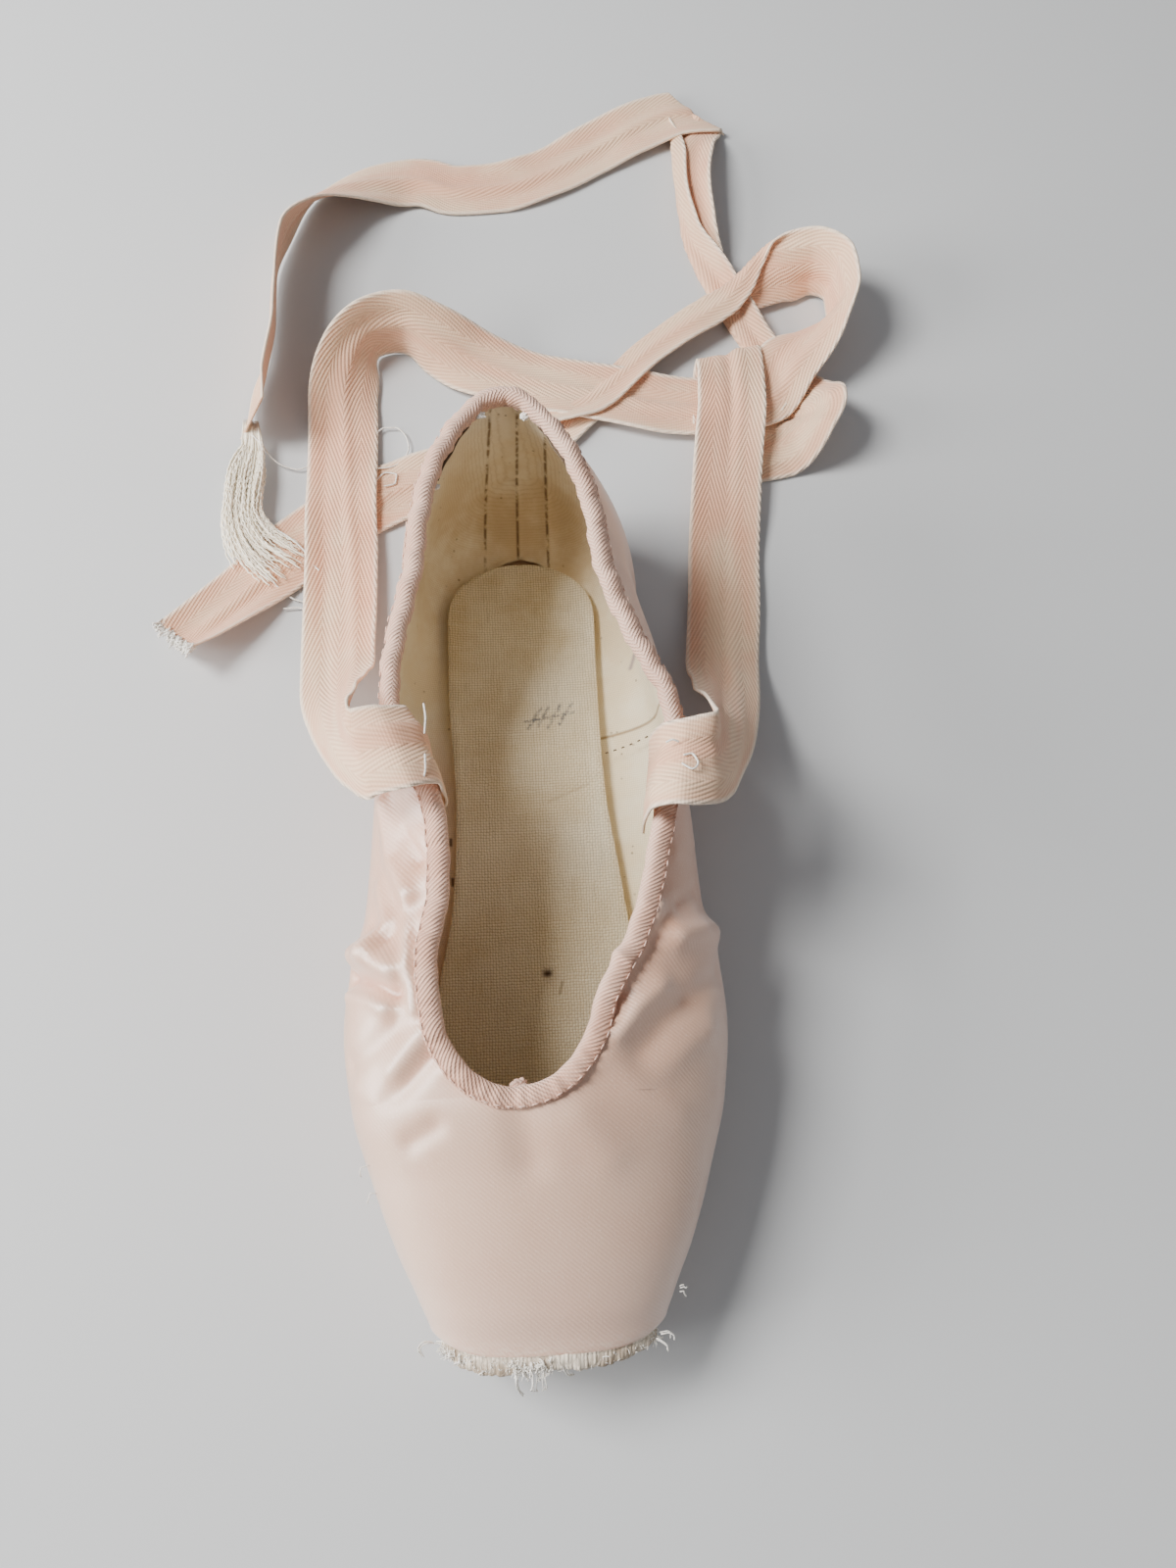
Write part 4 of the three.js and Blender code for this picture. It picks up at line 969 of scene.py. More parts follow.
def canvas_material():
    """The bare canvas and paste of the worn platform: off white, grey with floor dirt, with painted
    shade in the gaps of its weave.
    """
    s, _, place = cloth_material("platform_canvas", rough=0.95, sheen=0.05)
    flat = s.node("Mapping", {"Vector": place, "Rotation": (math.pi / 2, 0, 0),
                              "Scale": (1 / MM, 1 / MM, 1 / MM)})
    height, gap = s.use(plain_weave, flat, Pitch=0.9)
    cloud = s.noise(place, 120.0, 5.0, 0.7)
    colour = s.mix(s.ramp(cloud, 0.4, 0.62), rgb(226, 214, 196), rgb(168, 150, 130))
    rough = cloud * 0.1 + 0.86
    # Painted shade in the gaps between the threads.
    colour = s.paint(colour, (gap, 0.3, rgb(120, 104, 88)))
    return finish_cloth(s, colour, height + cloud, 0.5, 0.0005, rough)


dress(upper_object(), "satin", "upper", satin_material(), lining_material(), canvas_material())


# ---- Insole ----
# A thin board wrapped in natural linen and laid over the lining, straight from heel to toe. The
# cloth is turned round the board's edge, darker towards the toe, and pricked by one tack.
INSOLE = 2.4
INSOLE_GAP = 1
INSOLE_SHAPE = table("at half shift", [
    (20, 18.5, 0), (45, 26, 0), (75, 28, 0.8), (110, 23, 1.5), (143, 20.6, 0.3),
    (170, 21.2, -0.6), (214, 21.5, -0.4)])
TACK = (2.8, 90)


def underside(at, x, inset):
    """Height of the last's underside at a distance and a place across."""
    s = section(at, inset)
    across = clamp(np.abs(x) / np.maximum(s["half"], 1e-6))
    return s["belly"] - (s["belly"] - s["seat"]) * (1 - across ** BOTTOM_POWER) ** (
        1 / BOTTOM_POWER)


def plate_object(name, shape, reaches, heights, power, rows, columns):
    """A flat piece with rounded edges. Each section is a superellipse of a high power between
    the heights of its bottom and its top, and its corners are crowded towards the edges."""
    first, end = shape["at"][0], shape["at"][-1]
    t = np.linspace(0, 1, rows)
    at = first + (end - first) * (t + 0.9 * (t - t * t) * (2 * t - 1))
    half = plate_half(shape, at, *reaches)[:, None]
    across = np.sin(np.linspace(-1, 1, columns) * np.pi / 2)[None, :]
    shift = column(shape["at"], shape["shift"], at)[:, None] if "shift" in shape else 0
    x = shift + half * across
    low, high = heights(at[:, None], x, half * (1 - np.abs(across)))
    swell = (1 - np.abs(across) ** power) ** (1 / power)
    ends = np.sqrt(clamp(half / 6))
    middle, thick = (low + high) / 2, (high - low) / 2 * swell * ends
    y = at[:, None] - SHOE_LENGTH / 2 + 0 * x
    top = np.stack([x, y, middle + thick], axis=-1)
    bottom = np.stack([x, y, middle - thick], axis=-1)[:, ::-1]
    ring = np.concatenate([top, bottom], axis=1)
    cloth = np.stack([x, y], axis=-1)
    uv = np.concatenate([cloth, cloth[:, ::-1]], axis=1)
    piece = mesh_object(name, ring.reshape(-1, 3),
                        grid_faces(rows, 2 * columns, closed_columns=True), uv.reshape(-1, 2))
    weld(piece)
    return piece


def insole_heights(at, x, inward):
    """The insole's bottom and top: it follows the last's inside, with a rim where the linen is
    turned over the board, a slight crown and the dimple round the tack."""
    low = underside(at, x, 1) + INSOLE_GAP
    rim = 0.22 * bell(inward - 1.6, 1.1)
    wave = 0.12 * np.sin(at / 12 + x / 9) + 0.1 * np.sin(at / 21 - x / 14)
    tack = 0.8 * bell(np.hypot(x - TACK[0], at - TACK[1]), 1.1)
    crease = 0.3 * bell(at - 137 - 0.4 * (x - 5), 0.9) * clamp((x - 3) / 5)
    return low, low + INSOLE + rim + wave - tack - crease


PENCIL = rgb(98, 98, 104)
PENCIL_STROKES = [
    ((0.5, 159), (4, 165), 1.0), ((3.2, 159.5), (6.4, 165.6), 0.8), ((6, 159.2), (9.6, 166), 1.0),
    ((9.2, 160), (13, 166.6), 0.9), ((-0.5, 161), (13.5, 163.6), 0.7)]
INSOLE_MARKS = [
    (TACK, (TACK[0] + 0.5, TACK[1]), 1.6, 1.0, rgb(38, 26, 18)),
    (TACK, (TACK[0] + 1, TACK[1] - 1), 3.2, 0.3, rgb(120, 92, 64)),
    ((6, 84.5), (6.8, 87.5), 0.7, 0.5, rgb(90, 74, 58)),
    # Painted shade along the crease pressed into the insole.
    ((5.3, 137), (16.3, 141.5), 0.8, 0.3, rgb(150, 128, 96)),
]


def insole_material():
    """Natural linen: a clear plain weave of uneven threads, greyer and darker towards the toe, with
    painted shade in the gaps of its weave and along its crease, the soft strokes of a pencil and
    the tack's rusty hole."""
    s, cloth, place = cloth_material("insole_linen", rough=0.95, sheen=0.08)
    y = s.axis(place, 1)
    height, gap = s.use(plain_weave, cloth, Pitch=0.78)
    weft = s.noise(s.stretch(cloth, 0.12, 1.9, 1), 1.0, 2.0)
    warp = s.noise(s.stretch(cloth, 1.9, 0.12, 1), 1.0, 2.0)
    cloud = s.noise(place, 38.0, 5.0, 0.6)
    colour = s.mix(s.ramp(cloud, 0.35, 0.68), rgb(230, 219, 192), rgb(214, 199, 166))
    toe = 1.0 - s.ramp(y, -0.06, 0.02)
    soil = s.ramp(y, 0.03, 0.09) * s.ramp(cloud, 0.4, 0.7)
    smudge = s.ramp(s.noise(place, 900.0, 2.0, 0.8), 0.35, 0.65)
    colour = s.paint(
        colour,
        # Greyer and darker towards the toe.
        (toe, 0.5, rgb(184, 168, 142)),
        (soil, 0.5, rgb(196, 172, 130)),
        (s.ramp(weft, 0.5, 0.72), 0.22, rgb(244, 236, 214)),
        (s.ramp(warp, 0.52, 0.74), 0.22, rgb(150, 132, 104)),
        # Painted shade in the gaps between the threads.
        (gap, 0.45, rgb(112, 96, 72)))
    colour = s.paint(colour, *((near_line(s, place, a, b, width) * smudge, 0.9, PENCIL)
                               for a, b, width in PENCIL_STROKES))
    colour = marked(s, place, colour, INSOLE_MARKS)
    thread = weft * 0.4 + warp * 0.4
    return finish_cloth(s, colour, height + thread, 0.6, 0.0004)


dress(plate_object("insole_linen", INSOLE_SHAPE, (12, 20), insole_heights, 16, 280, 72),
      "insole_canvas", "insole", insole_material())


# ---- Outsole ----
# One short piece of buffed tan leather, shaped to the last's underside and stitched over the
# upper's turned-in edge through a groove cut round it. It is scored for grip at the toe.
def outsole_heights(at, x, inward):
    """The outsole's bottom and top: flat under ball and heel, lifted at the arch, with the
    stitching groove a bell-shaped cut three millimetres in from the edge."""
    high = underside(at, x, 0) - GAP
    low = last_column("seat", at) - GAP - SOLE + 0 * x
    groove = 0.5 * bell(inward - 3.2, 0.55)
    score = 0.22 * clamp(1 - np.abs((at - 42) / 9)) * np.maximum(0, np.sin(at * 2.1 + x * 0.9))
    return low + groove + score, high


def leather_material():
    """Tan leather, matt and fibrous, with painted shade in its stitching groove and other hollows,
    polished and dirty where it touches the floor."""
    s, _, place = cloth_material("buffed_leather", rough=0.75, sheen=0.05)
    s.shader.inputs["Specular IOR Level"].default_value = 0.4
    z = s.axis(place, 2)
    grain = s.noise(place, 1400.0, 4.0, 0.65)
    cloud = s.noise(place, 42.0, 4.0, 0.6)
    scrape = s.noise(s.stretch(place, 900, 90, 300), 1.0, 3.0)
    colour = s.mix(s.ramp(cloud, 0.3, 0.7), rgb(205, 172, 134), rgb(176, 138, 100))
    floor_dirt = 1.0 - s.ramp(z, 0.0002, 0.0012)
    dirt = floor_dirt * s.ramp(cloud, 0.3, 0.62)
    pits = s.node("NewGeometry", output=7)
    rough = 0.82 - dirt * 0.25
    colour = s.paint(
        colour,
        (dirt, 0.6, rgb(108, 88, 70)),
        (s.ramp(scrape, 0.58, 0.75), 0.4, rgb(222, 200, 168)),
        # Painted shade in the hollows, found by the pointiness.
        (1.0 - s.ramp(pits, 0.4, 0.49), 0.7, rgb(92, 66, 46)))
    return finish_cloth(s, colour, grain + scrape, 0.35, 0.0003, rough)


dress(plate_object("outsole_leather", OUTSOLE_SHAPE, OUTSOLE_ENDS, outsole_heights, 12, 300, 80),
      "sole_leather", "outsole", leather_material())


# ---- Collar binding ----
# Pink cotton herringbone tape folded over the collar's edge and sewn through, with the drawstring
# running inside it. It puffs between its stitches and its ribs meet in chevrons along the top.
BINDING_OUTLINE = [(1.5, -3.5), (2.1, -3.0), (2.4, -1.7), (2.35, -0.3), (1.95, 0.8), (1.1, 1.55),
                   (0, 1.8), (-1.1, 1.55), (-1.95, 0.8), (-2.35, -0.3), (-2.35, -1.6), (-2.1, -2.8),
                   (-1.5, -3.3), (-0.6, -2.5), (0.6, -2.7)]
BINDING_ROWS = 900


def rounded(outline):
    """A closed outline with each corner cut at a quarter and three quarters, twice."""
    outline = np.array(outline, float)
    for _ in range(2):
        ahead = np.roll(outline, -1, axis=0)
        outline = np.stack([outline * 0.75 + ahead * 0.25, outline * 0.25 + ahead * 0.75],
                           axis=1).reshape(-1, outline.shape[1])
    return outline


def smooth_loop(values, reach):
    """A closed run of values, averaged with their neighbours three times."""
    for _ in range(3):
        values = sum(np.roll(values, k, axis=0) for k in range(-reach, reach + 1)) / (2 * reach + 1)
    return values


def collar_frames(rows):
    """The collar's edge as one closed loop, from the throat back along the right side and
    forward along the left: its middle, the way out of the shoe and the way up off the edge."""
    shells, _, at, _, closed_top, _ = upper_surfaces()
    used = np.flatnonzero(~closed_top)
    used = np.concatenate([[used[0] - 1], used])
    edge = [np.concatenate([shell[0][used, -1], shell[1][used[-2:0:-1], -1]]) for shell in shells]
    middle = (edge[0] + edge[1]) / 2
    arc = arc_along(np.concatenate([middle, middle[:1]]))
    want = np.linspace(0, arc[-1], rows, endpoint=False)

    def even(values):
        return at_distances(np.concatenate([values, values[:1]]), arc, want)

    middle = smooth_loop(even(middle), 3)
    out = smooth_loop(even(unit(edge[0] - edge[1])), 5)
    along = unit(np.roll(middle, -1, axis=0) - np.roll(middle, 1, axis=0))
    off = unit(np.cross(out, along))
    off = np.where(off[:, 2:] < 0, -off, off)
    out = unit(np.cross(along, off))
    outward = even(edge[0] - edge[1])
    out = np.where((outward * out).sum(1, keepdims=True) < 0, -out, out)
    return {"middle": middle, "out": out, "off": off, "along": along, "arc": want,
            "length": arc[-1]}


def closed_tube(name, points):
    """A tube that closes on itself, from rings of points one after another. Its faces are given
    too, numbered as though the ring that closes it were one more."""
    rings, sides = points.shape[:2]
    faces = grid_faces(rings + 1, sides, closed_columns=True)
    return mesh_object(name, points.reshape(-1, 3), faces % (rings * sides)), faces


def binding_object(frames):
    """The tape's rounded outline carried round the collar. It swells and sways between its
    stitches by a sum of sines, and is pinched up in one small fold on the right."""
    outline = rounded(BINDING_OUTLINE)
    arc = frames["arc"][:, None]
    turn = 2 * np.pi * arc / frames["length"]
    swell = 1 + 0.05 * np.sin(61 * turn) + 0.04 * np.sin(97 * turn + 1) + 0.03 * np.sin(149 * turn)
    sway = 0.22 * np.sin(23 * turn + 0.5) + 0.15 * np.sin(41 * turn)
    at = frames["middle"][:, 1] + SHOE_LENGTH / 2
    right = frames["arc"] < frames["length"] / 2
    kink = np.where(right, bell(at - 86, 1.6), 0)[:, None]
    across = outline[None, :, 0] * swell + sway * 0.6 + 0.5 * kink
    up = outline[None, :, 1] * (1 + 0.03 * np.sin(73 * turn)) + sway * 0.4 + 0.9 * kink
    points = (frames["middle"][:, None] + frames["out"][:, None] * across[..., None]
              + frames["off"][:, None] * up[..., None])
    girth = arc_along(outline)
    girth -= girth[np.argmax(outline[:, 1])]
    uv_rows = np.concatenate([arc[:, 0], [frames["length"]]])
    corner_uv = np.stack(np.broadcast_arrays(uv_rows[:, None], girth[None, :]), -1).reshape(-1, 2)
    piece, faces = closed_tube("collar_binding_tape", points)
    layer = piece.data.uv_layers.new(name="cloth")
    layer.data.foreach_set("uv", corner_uv[faces].astype(np.float32).ravel())
    weld(piece)
    return piece


def binding_material():
    """Pink twill with strong ribs, with painted shade in its grooves and low on its sides where it
    meets the shoe, and paler along its top.
    """
    s, cloth, place = cloth_material("binding_twill", rough=0.85, sheen=0.4)
    rib, groove = s.use(herringbone, cloth, Stripe=8.0, Pitch=0.85, Slant=0.85)
    girth = s.math("ABSOLUTE", s.axis(cloth, 1))
    cloud = s.noise(place, 70.0, 4.0, 0.6)
    colour = s.mix(s.ramp(cloud, 0.35, 0.7), rgb(230, 190, 168), rgb(220, 174, 150))
    top = 1.0 - s.ramp(girth, 0.4, 3.0)
    colour = s.paint(
        colour,
        (top, 0.35, rgb(243, 216, 200)),
        # Painted shade low on the sides and underneath, where the binding meets the shoe.
        (s.ramp(girth, 4.2, 6.2), 0.5, rgb(196, 146, 122)),
        # Painted shade in the grooves of the twill.
        (groove, 0.4, rgb(168, 112, 86)))
    return finish_cloth(s, colour, rib, 0.6, 0.0005)


collar = collar_frames(BINDING_ROWS)
dress(binding_object(collar), "binding_tape", "collar_binding", binding_material())


# ---- Threads ----
# Cotton thread shows wherever the shoe is sewn or worn: the stitching along the binding, the
# unravelled end of one ribbon, the cut end of the other, strays, and the frayed canvas of the
# platform. Each run of threads is one mesh of thin tapering tubes.
THREAD_SIDES = 5
draw = np.random.default_rng(11)


def strands(name, paths, radius, taper=0.25):
    """Thin tubes along many paths, an array of threads by places by three. Each place has a ring
    of points square to the path, whose radius shrinks to nothing at both tips."""
    paths = np.asarray(paths, float)
    count, places = paths.shape[:2]
    along = unit(np.gradient(paths, axis=1))
    side = unit(np.cross(along, np.array([0.31, 0.22, 0.92])))
    other = np.cross(along, side)
    t = np.linspace(0, 1, places)
    thick = np.clip(np.minimum(t, 1 - t) / max(taper, 1e-3) * 4, 0, 1) ** 0.5
    size = np.broadcast_to(np.asarray(radius, float).reshape(-1, 1), (count, 1)) * thick
    turn = np.linspace(0, 2 * np.pi, THREAD_SIDES, endpoint=False)
    ring = (side[:, :, None] * np.cos(turn)[:, None] + other[:, :, None] * np.sin(turn)[:, None])
    points = paths[:, :, None] + ring * size[..., None, None]
    one = grid_faces(places, THREAD_SIDES, closed_columns=True)
    faces = (one[None] + (np.arange(count) * places * THREAD_SIDES)[:, None, None]).reshape(-1, 4)
    piece = mesh_object(name, points.reshape(-1, 3), faces)
    weld(piece, 0.0005)
    return piece


def wander(count, places, size, waves=3.0):
    """A sideways drift for each thread, of three slow sines with drawn phases, from nothing at
    its root."""
    t = np.linspace(0, 1, places)[None, :, None]
    phase = draw.uniform(0, 2 * np.pi, (count, 1, 3, 3))
    gain = draw.normal(0, 1, (count, 1, 3, 3)) / np.array([1, 1.6, 2.6])[:, None]
    angle = t[..., None] * np.array([1, 2, 3.5])[:, None] * waves + phase
    return (np.sin(angle) * gain).sum(2) * size * np.minimum(t * 3, 1)


def thread_material(name, colour, dark):
    """Twisted cotton: a pale colour and a darker one in fine broken bands."""
    s, _, place = cloth_material(name, rough=0.95, sheen=0.3)
    fibre = s.noise(place, 1500.0, 3.0, 0.7)
    tone = s.mix(s.ramp(fibre, 0.3, 0.7), dark, colour)
    return finish_cloth(s, tone, fibre, 0.5, 0.0002)


cream_thread = thread_material("cream_thread", rgb(255, 251, 238), rgb(240, 226, 200))
white_thread = thread_material("white_thread", rgb(250, 248, 242), rgb(214, 208, 198))
pink_thread = thread_material("pink_thread", rgb(236, 206, 190), rgb(196, 152, 132))
dark_thread_and_slit_shade = thread_material("dark_thread_and_slit_shade", rgb(96, 78, 60), rgb(58, 46, 36))


def stitch_paths(line, length, gap, rise):
    """Stitches along a line: short arches, each standing off by a sine, with gaps between."""
    arc = arc_along(line)
    starts = np.arange(0, arc[-1] - length, length + gap)
    t = np.linspace(0, 1, 6)
    return at_distances(line, arc, starts[:, None] + t * length) + np.sin(t * np.pi)[:, None] * rise


# The tassel: the right ribbon's lengthwise threads, kinked from the weave, fall over the other
# ribbon's tail and spread. In millimetres, half their width at the root, the lowest that they
# lie, and how far the first places are drawn back into the tape.
TASSEL_THREADS = 120
TASSEL_PLACES = 46
TASSEL_HALF = 4.6
TASSEL_LOWEST = 2.2
TASSEL_ROOTS = (-1.2, 6.0, 2.2)


def tassel():
    """Threads that follow the route of the unravelled end, each at its own place across it, and
    spread more and more towards their tips."""
    route = route_frames(FRAY, FRAY_WIDTH, ROWS_BETWEEN)
    count, places = TASSEL_THREADS, TASSEL_PLACES
    t = np.linspace(0, 1, places)
    reach = draw.uniform(0.78, 1.12, count)
    arc = route["arc"][-1]
    want = np.clip(t[None, :] * reach[:, None], 0, 1) * arc
    middle = at_distances(route["middle"], route["arc"], want)
    beyond = np.maximum(0, t[None, :] * reach[:, None] - 1) * arc
    middle += beyond[..., None] * unit(route["middle"][-1] - route["middle"][-3])
    index = want / arc * (len(route["arc"]) - 1)
    level = unit(np.cross(route["along"], np.array([0, 0, 1])))
    side = at_distances(level, np.arange(len(route["arc"])), index)
    place_across = draw.uniform(-1, 1, count)[:, None]
    belly = (0.55 + 0.7 * np.sin(np.pi / 2 * np.clip(t * 3.2, 0, 1))
             + 0.9 * np.clip(t - 0.6, 0, 1) * 2)
    lift = draw.uniform(-0.6, 1.6, count)[:, None] * np.sin(np.pi * np.clip(t * 0.9 + 0.1, 0, 1))
    paths = middle + side * (place_across * TASSEL_HALF * belly)[..., None]
    kink = np.sin(want * 2.4 + draw.uniform(0, 6, count)[:, None]) * 0.2
    paths += side * (kink * np.minimum(t * 6, 1))[..., None]
    paths[..., 2] += lift + 0.22 * np.sin(want * 2.1 + draw.uniform(0, 6, count)[:, None])
    paths += wander(count, places, 0.55)
    paths[:, :4] += np.linspace(1, 0, 4)[None, :, None] * np.array(TASSEL_ROOTS)
    paths[..., 2] = np.maximum(paths[..., 2], TASSEL_LOWEST)
    return strands("ribbon_tassel", paths, draw.uniform(0.17, 0.34, count))


tassel_piece = dress(tassel(), "frayed_cotton", "ribbon_right_fray", cream_thread)


CUT_THREADS = 150
CUT_LENGTHS = (1.2, 3.0)


def cut_end():
    """The left ribbon's cut end: short threads of uneven length that run on past it, curled up
    at both edges as the tape is."""
    route = left_route
    count, places = CUT_THREADS, 9
    tip, way = route["middle"][-1], route["along"][-1]
    side, face = route["side"][-1], route["face"][-1] * np.sign(route["face"][-1, 2])
    at = draw.uniform(-1, 1, count) * RIBBON_WIDTH / 2
    length = draw.uniform(*CUT_LENGTHS, count)
    t = np.linspace(-0.5, 1, places)
    paths = (tip + side * at[:, None, None] * (1 - TAIL_DRAW * TAIL_CURL)
             + way * (t[None, :] * length[:, None])[..., None]
             + face * (draw.uniform(-0.35, 0.5, count)
                       + TAIL_CURL * (2 * at / RIBBON_WIDTH) ** 2)[:, None, None])
    paths += wander(count, places, 0.55, 2.0)
    paths[..., 2] = np.maximum(paths[..., 2], 0.3)
    return strands("ribbon_cut_end", paths, draw.uniform(0.16, 0.34, count))


cut_piece = dress(cut_end(), "frayed_cotton", None, white_thread)


# Strays: loops of white thread that have come out of the ribbons, and the ends of the stitching
# at their sewn ends. Each is a route of x, at and z.
STRAYS = [
    [(-83, 265, 6), (-80, 262, 5), (-77, 258.5, 2), (-73, 256, 1), (-69, 255, 1), (-65, 256.5, 1)],
    [(-45, 267, 1.5), (-42, 270, 1), (-38.5, 270, 1), (-35, 266, 1), (-34.3, 262, 1),
     (-36.5, 257, 1), (-41, 254.5, 1.4), (-45, 254, 2)],
    [(-45, 249, 1.5), (-41.5, 252.5, 1.6), (-38, 251.5, 1.8), (-38.5, 248, 2.2), (-42, 247, 2.4)],
    [(-77, 216, 4), (-73, 212, 1.5), (-68.5, 208.5, 0.8), (-63, 207, 0.8)],
    [(-72, 205.5, 0.8), (-68, 205.8, 0.8), (-64.5, 204.6, 0.8)],
    [(-74, 231, 4), (-70, 228, 4.2), (-66, 224, 3.8), (-63, 219, 3.2), (-61, 217, 3)],
    [(36, 128.5, 60.6), (38.4, 126.6, 61.4), (39.9, 128.4, 60.9), (38.6, 130.8, 60.5),
     (36.6, 130.4, 60.7)],
    [(32.9, 134.2, 59.6), (34.4, 134.5, 60.4), (35.9, 134.1, 59.9)],
    [(-24.5, 147, 58.5), (-24, 143, 58.9), (-24.3, 139, 58.6)],
    [(-24.2, 134, 58.5), (-24.1, 130, 58.8), (-24.8, 127.4, 58.2)],
]


def stray_paths(routes, places=40):
    """Smooth paths through short routes: cubics between the points, each column on its own."""
    paths = []
    for route in routes:
        route = np.array(route, float)
        k = np.arange(len(route), dtype=float)
        want = np.linspace(0, k[-1], places)
        path = np.stack([column(k, route[:, c], want) for c in range(3)], axis=-1)
        path[:, 1] -= SHOE_LENGTH / 2
        paths.append(path)
    return np.array(paths)


dress(strands("stray_threads", stray_paths(STRAYS), 0.26), "frayed_cotton", None, white_thread)
for tape, route, ends in ((ribbon_left, left_route, [cut_piece]),
                          (ribbon_right, right_route, [tassel_piece])):
    line = route["middle"][::ROWS_BETWEEN // 3] * MM


# Stitching: the two lines that hold the binding, one outside and one inside.
def binding_line(out, off):
    """The loop at one place of the binding's section, all the way round the collar."""
    line = collar["middle"] + collar["out"] * out + collar["off"] * off
    return np.concatenate([line, line[:1]])


seam = np.concatenate([stitch_paths(binding_line(2.2, -2.9), 1.9, 1.0, np.array([0, 0, 0.18])),
                       stitch_paths(binding_line(-2.1, -2.9), 1.9, 1.0, np.array([0, 0, 0.12]))])
dress(strands("binding_stitching", seam, 0.19), "binding_tape", None, pink_thread)

# At the heel the binding stands off the lining in two slits, tied by knots of white thread. A
# dark tube laid along each slit is painted shade.
# A knot is its side, its distance from the platform and its size. A slit is its side and the
# distances of its two ends.
HEEL_KNOTS = [(-1, 230.5, 1.0), (1, 230.0, 1.1), (-1, 209.5, 0.7)]
HEEL_SLITS = [(1, 227.0, 213.5), (-1, 227.5, 211.5)]


def on_binding(side, at, out, off):
    """The point of the binding on one side at a distance, so far out and off the edge."""
    near = np.abs(collar["middle"][:, 1] + SHOE_LENGTH / 2 - at)
    right = np.arange(BINDING_ROWS) < BINDING_ROWS / 2
    i = np.argmin(np.where(right == (side > 0), near, np.inf))
    point = collar["middle"][i] + collar["out"][i] * out + collar["off"][i] * off
    return point + np.array([0, SHOE_LENGTH / 2, 0])


def knot_paths(centre, size, count=9, places=26):
    """A knot of thread: rings about a centre, each turned its own way, with their ends loose."""
    centre = np.array(centre) - np.array([0, SHOE_LENGTH / 2, 0])
    t = np.linspace(0, 1, places)
    a, b = unit(draw.normal(0, 1, (2, count, 1, 3)))
    turn = 2 * np.pi * (t * draw.uniform(0.8, 1.4, (count, 1)) + draw.uniform(0, 1, (count, 1)))
    ring = a * np.cos(turn)[..., None] + b * np.sin(turn)[..., None]
    grow = size * (0.75 + 0.35 * draw.uniform(0, 1, (count, 1, 1)) + 0.25 * t[:, None] ** 3)
    return centre + ring * grow * np.array([1, 0.8, 0.7])


heel_knots = np.concatenate([knot_paths(on_binding(side, at, -2.6, -0.6), size)
                             for side, at, size in HEEL_KNOTS])
dress(strands("heel_thread_knots", heel_knots, 0.28), "frayed_cotton", None, white_thread)
# Painted shade: a dark tube along each slit.
slits = [[on_binding(side, at, -2.5, -1.0) for at in np.linspace(start, end, 5)]
         for side, start, end in HEEL_SLITS]
dress(strands("heel_slit_shade", stray_paths(slits, 24), 0.6, taper=2.0), "binding_tape", None,
      dark_thread_and_slit_shade)

# A row of dark stitches crosses the lining where its side piece is joined.
LINING_SEAMS = [[(21.5, 150, 13.2), (27.5, 151.4, 14.6), (33.6, 153.2, 17.0)]]
lining_stitches = [stitch_paths(path, 1.1, 1.3, np.array([0, 0, 0.2]))
                   for path in stray_paths(LINING_SEAMS, 30)]
dress(strands("lining_stitches", np.concatenate(lining_stitches), 0.22), "insole_canvas", None,
      dark_thread_and_slit_shade)


# The drawstring leaves the binding at the throat, is knotted there and cut short.
def drawstring():
    """Rings of soft cord round the knot's middle, flattened on the binding, and two short
    frayed ends that point down the vamp."""
    root = collar["middle"][0] - collar["out"][0] * 0.7 + collar["off"][0] * 1.7
    rings = knot_paths(root + np.array([0, SHOE_LENGTH / 2, 0]), 1.5, count=26)
    count, places = 22, 14
    t = np.linspace(0, 1, places)[None, :, None]
    way = unit(np.stack([draw.uniform(-0.9, 0.9, count), draw.uniform(-1, -0.2, count),
                         draw.uniform(-0.5, 0.25, count)], axis=-1))[:, None]
    ends = root + way * t * draw.uniform(1.4, 3.0, (count, 1, 1)) + wander(count, places, 0.3)
    return (strands("drawstring_loops", rings, 0.42), strands("drawstring_ends", ends, 0.2))


loops_piece, ends_piece = drawstring()
dress(loops_piece, "drawstring", "drawstring_knot", pink_thread)
dress(ends_piece, "drawstring", None, cream_thread)


# ---- Platform ----
# The satin has worn through round the platform and shrunk back from its edge. The canvas under
# it stands out as a ragged, fluffy rim, split into layers on one side.
RIM_COLUMNS = 320
RIM_SIDES = 14


def rim_outline(scale):
    """The platform's outline as one closed loop of points, with its outward directions."""
    s = section(np.zeros(1), 0)
    x, z, _ = half_profile(s, np.zeros(1), 90)
    x = np.concatenate([x[0], -x[0][-2:0:-1]])
    z = np.concatenate([z[0], z[0][-2:0:-1]])
    loop = placed(s, 1, x, z, scale)
    closed = np.concatenate([loop, loop[:1]])
    arc = arc_along(closed)
    loop = at_distances(closed, arc, np.linspace(0, arc[-1], RIM_COLUMNS, endpoint=False))
    along = unit(np.roll(loop, -1, axis=0) - np.roll(loop, 1, axis=0))
    out = unit(np.cross(along, np.array([0, -1, 0])))
    out *= np.sign((out * (loop - loop.mean(0))).sum(1, keepdims=True))
    return loop, out


def ragged(size, count, seed):
    """A closed ragged run: many sines of whole turns with drawn sizes and phases."""
    pick = np.random.default_rng(seed)
    turn = np.linspace(0, 2 * np.pi, count, endpoint=False)[:, None]
    waves = np.array([3, 5, 8, 13, 21, 34, 47, 61, 83])
    gains = pick.normal(0, 1, len(waves)) / waves ** 0.35
    total = (np.sin(turn * waves + pick.uniform(0, 6, len(waves))) * gains).sum(1)
    return total / np.abs(total).max() * size


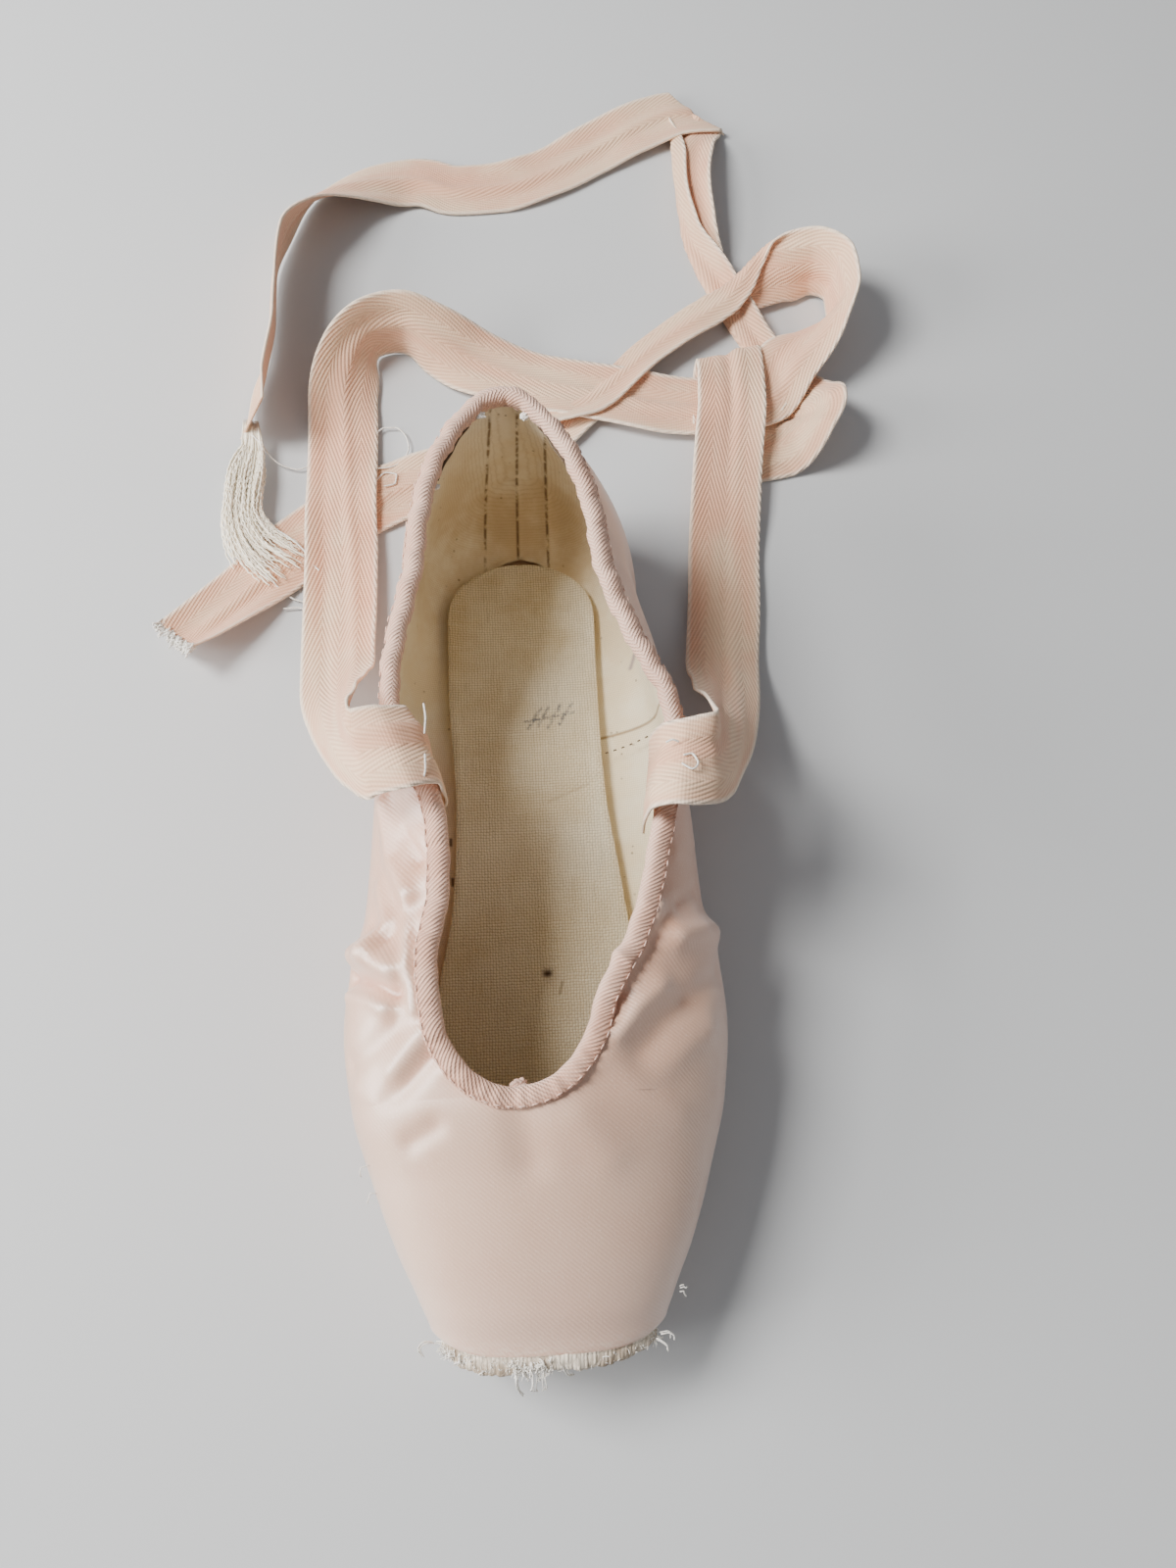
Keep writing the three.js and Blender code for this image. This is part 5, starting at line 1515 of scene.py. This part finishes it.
def rim_object(name, scale, thick, reach, rough, seed):
    """A rim of canvas: a rounded strip on edge that follows the platform's outline, whose front
    edge comes and goes raggedly and stands further out on the left."""
    loop, out = rim_outline(scale)
    turn = np.linspace(0, 2 * np.pi, RIM_SIDES, endpoint=False)
    front = reach + ragged(rough, RIM_COLUMNS, seed) + 0.9 * clamp(-loop[:, 0] / 20 - 0.3)
    fat = thick * (1 + ragged(0.35, RIM_COLUMNS, seed + 1))
    across = np.cos(turn)[None, :] * fat[:, None] / 2
    ahead = (np.sin(turn)[None, :] * 0.5 + 0.5) * (front[:, None] + 2) - 2
    bump = ragged(0.22, RIM_COLUMNS, seed + 2)[:, None] * np.sin(3 * turn)[None, :]
    points = loop[:, None] + out[:, None] * (across + bump)[..., None]
    points = points + np.array([0, -1, 0]) * ahead[..., None]
    piece, _ = closed_tube(name, points)
    weld(piece)
    return piece


rim_finish = canvas_material()
for rim in (rim_object("platform_rim_outer", 0.955, 2.0, 2.3, 0.7, 5),
            rim_object("platform_rim_inner", 0.86, 1.3, 1.1, 0.6, 9)):
    dress(rim, "frayed_cotton", None, rim_finish)


def fluff(count, length, radius, spread_out, where):
    """Short fibres rooted along the rim, pointing forward and outward and wandering. where
    limits them to a run of the rim, given as the least and greatest x and the least z."""
    loop, out = rim_outline(0.96)
    usable = np.flatnonzero((loop[:, 0] > where[0]) & (loop[:, 0] < where[1])
                            & (loop[:, 2] > where[2]))
    root = draw.choice(usable, count)
    places = 12
    t = np.linspace(0, 1, places)[None, :, None]
    way = (np.array([0, -1, 0]) * draw.uniform(0.3, 1, (count, 1))
           + out[root] * draw.uniform(-0.2, spread_out, (count, 1))
           + draw.normal(0, 0.3, (count, 3)))
    reach = draw.uniform(*length, (count, 1, 1))
    start = loop[root] + np.array([0, -1, 0]) * draw.uniform(-0.5, 1.4, (count, 1))
    paths = start[:, None] + unit(way)[:, None] * t * reach + wander(count, places, 0.35)
    return paths, draw.uniform(*radius, count)


# The fluff's runs: how many fibres, their lengths and radii, how far they spread, and where.
FLUFF = [
    (700, (0.5, 1.3), (0.05, 0.12), 0.7, (-99, 99, -99)),
    (260, (0.8, 2.0), (0.06, 0.14), 0.9, (-24, 1, 19)),
    (80, (1.6, 3.4), (0.08, 0.16), 1.0, (-9, 0, 19)),
    (60, (1.2, 3.2), (0.08, 0.16), 1.2, (-30, -20, 14)),
    (30, (1.2, 3.0), (0.08, 0.16), 1.2, (22, 30, 14)),
]
fibres, radii = zip(*(fluff(*run) for run in FLUFF))
dress(strands("platform_fluff", np.concatenate(fibres), np.concatenate(radii)), "frayed_cotton",
      None, white_thread)

HANGING = [
    [(-7.4, 0, 28), (-7.6, -3.6, 27.6), (-7.0, -6.2, 25), (-6.2, -7.4, 20.5)],
    [(-5.4, 0, 28), (-5.6, -2.4, 27.4), (-5.0, -3.6, 25), (-5.3, -4.2, 22.6)],
    [(-3.8, 0, 28.2), (-3.6, -3.8, 27.8), (-3.7, -6.0, 25.2), (-3.2, -6.8, 21.2)],
    [(-3.0, 0, 28.2), (-2.6, -2.2, 27.6), (-2.4, -3.9, 25), (-2.8, -4.6, 21.8)],
    [(-1.8, 0, 28.2), (-1.7, -3.4, 27.8), (-1.4, -5.6, 25.8), (-1.8, -6.6, 22.4)],
    [(2.5, 0, 28), (3.2, -2.2, 27.2), (4.2, -3.4, 25.6), (5.0, -3.4, 24.4)],
    [(24.0, 2.6, 25), (25.6, 1.6, 25.2), (26.4, 0.6, 24.6), (26.6, -0.2, 23.4)],
    [(25, 3.4, 24.5), (26.6, 3.6, 25), (27.8, 3.0, 24.6), (27.8, 2.0, 23.6)],
    [(-26.4, 4.4, 22), (-28.4, 4.6, 23), (-29.6, 3.2, 22.4), (-29.0, 1.6, 21)],
]
SIDE_FRAYS = [
    [(-40.2, 43.5, 29), (-41.6, 43.2, 29.4), (-42.4, 42, 29.0), (-42.2, 41, 28.2)],
    [(-38.6, 36.6, 28), (-40.0, 36.8, 28.6), (-40.6, 35.4, 28.4), (-40.8, 34.4, 27.6)],
    [(30.4, 13.6, 25), (31.0, 13.8, 25.4), (31.4, 14.1, 25.4), (31.5, 13.7, 25)],
    [(30.2, 12.4, 25), (30.9, 12.2, 25.3), (31.1, 11.8, 25), (31.2, 11.4, 24.6)],
    [(30.2, 13.0, 25), (30.8, 13.2, 25.6), (31.3, 12.9, 25.7), (31.7, 13.0, 25.5)],
]
hanging = np.concatenate([stray_paths(HANGING, 24)] * 3 + [stray_paths(SIDE_FRAYS, 24)])
hanging = hanging + wander(len(hanging), 24, 0.14) + draw.normal(0, 0.2, (len(hanging), 1, 3))
dress(strands("hanging_threads", hanging, 0.14), "frayed_cotton", None, white_thread)
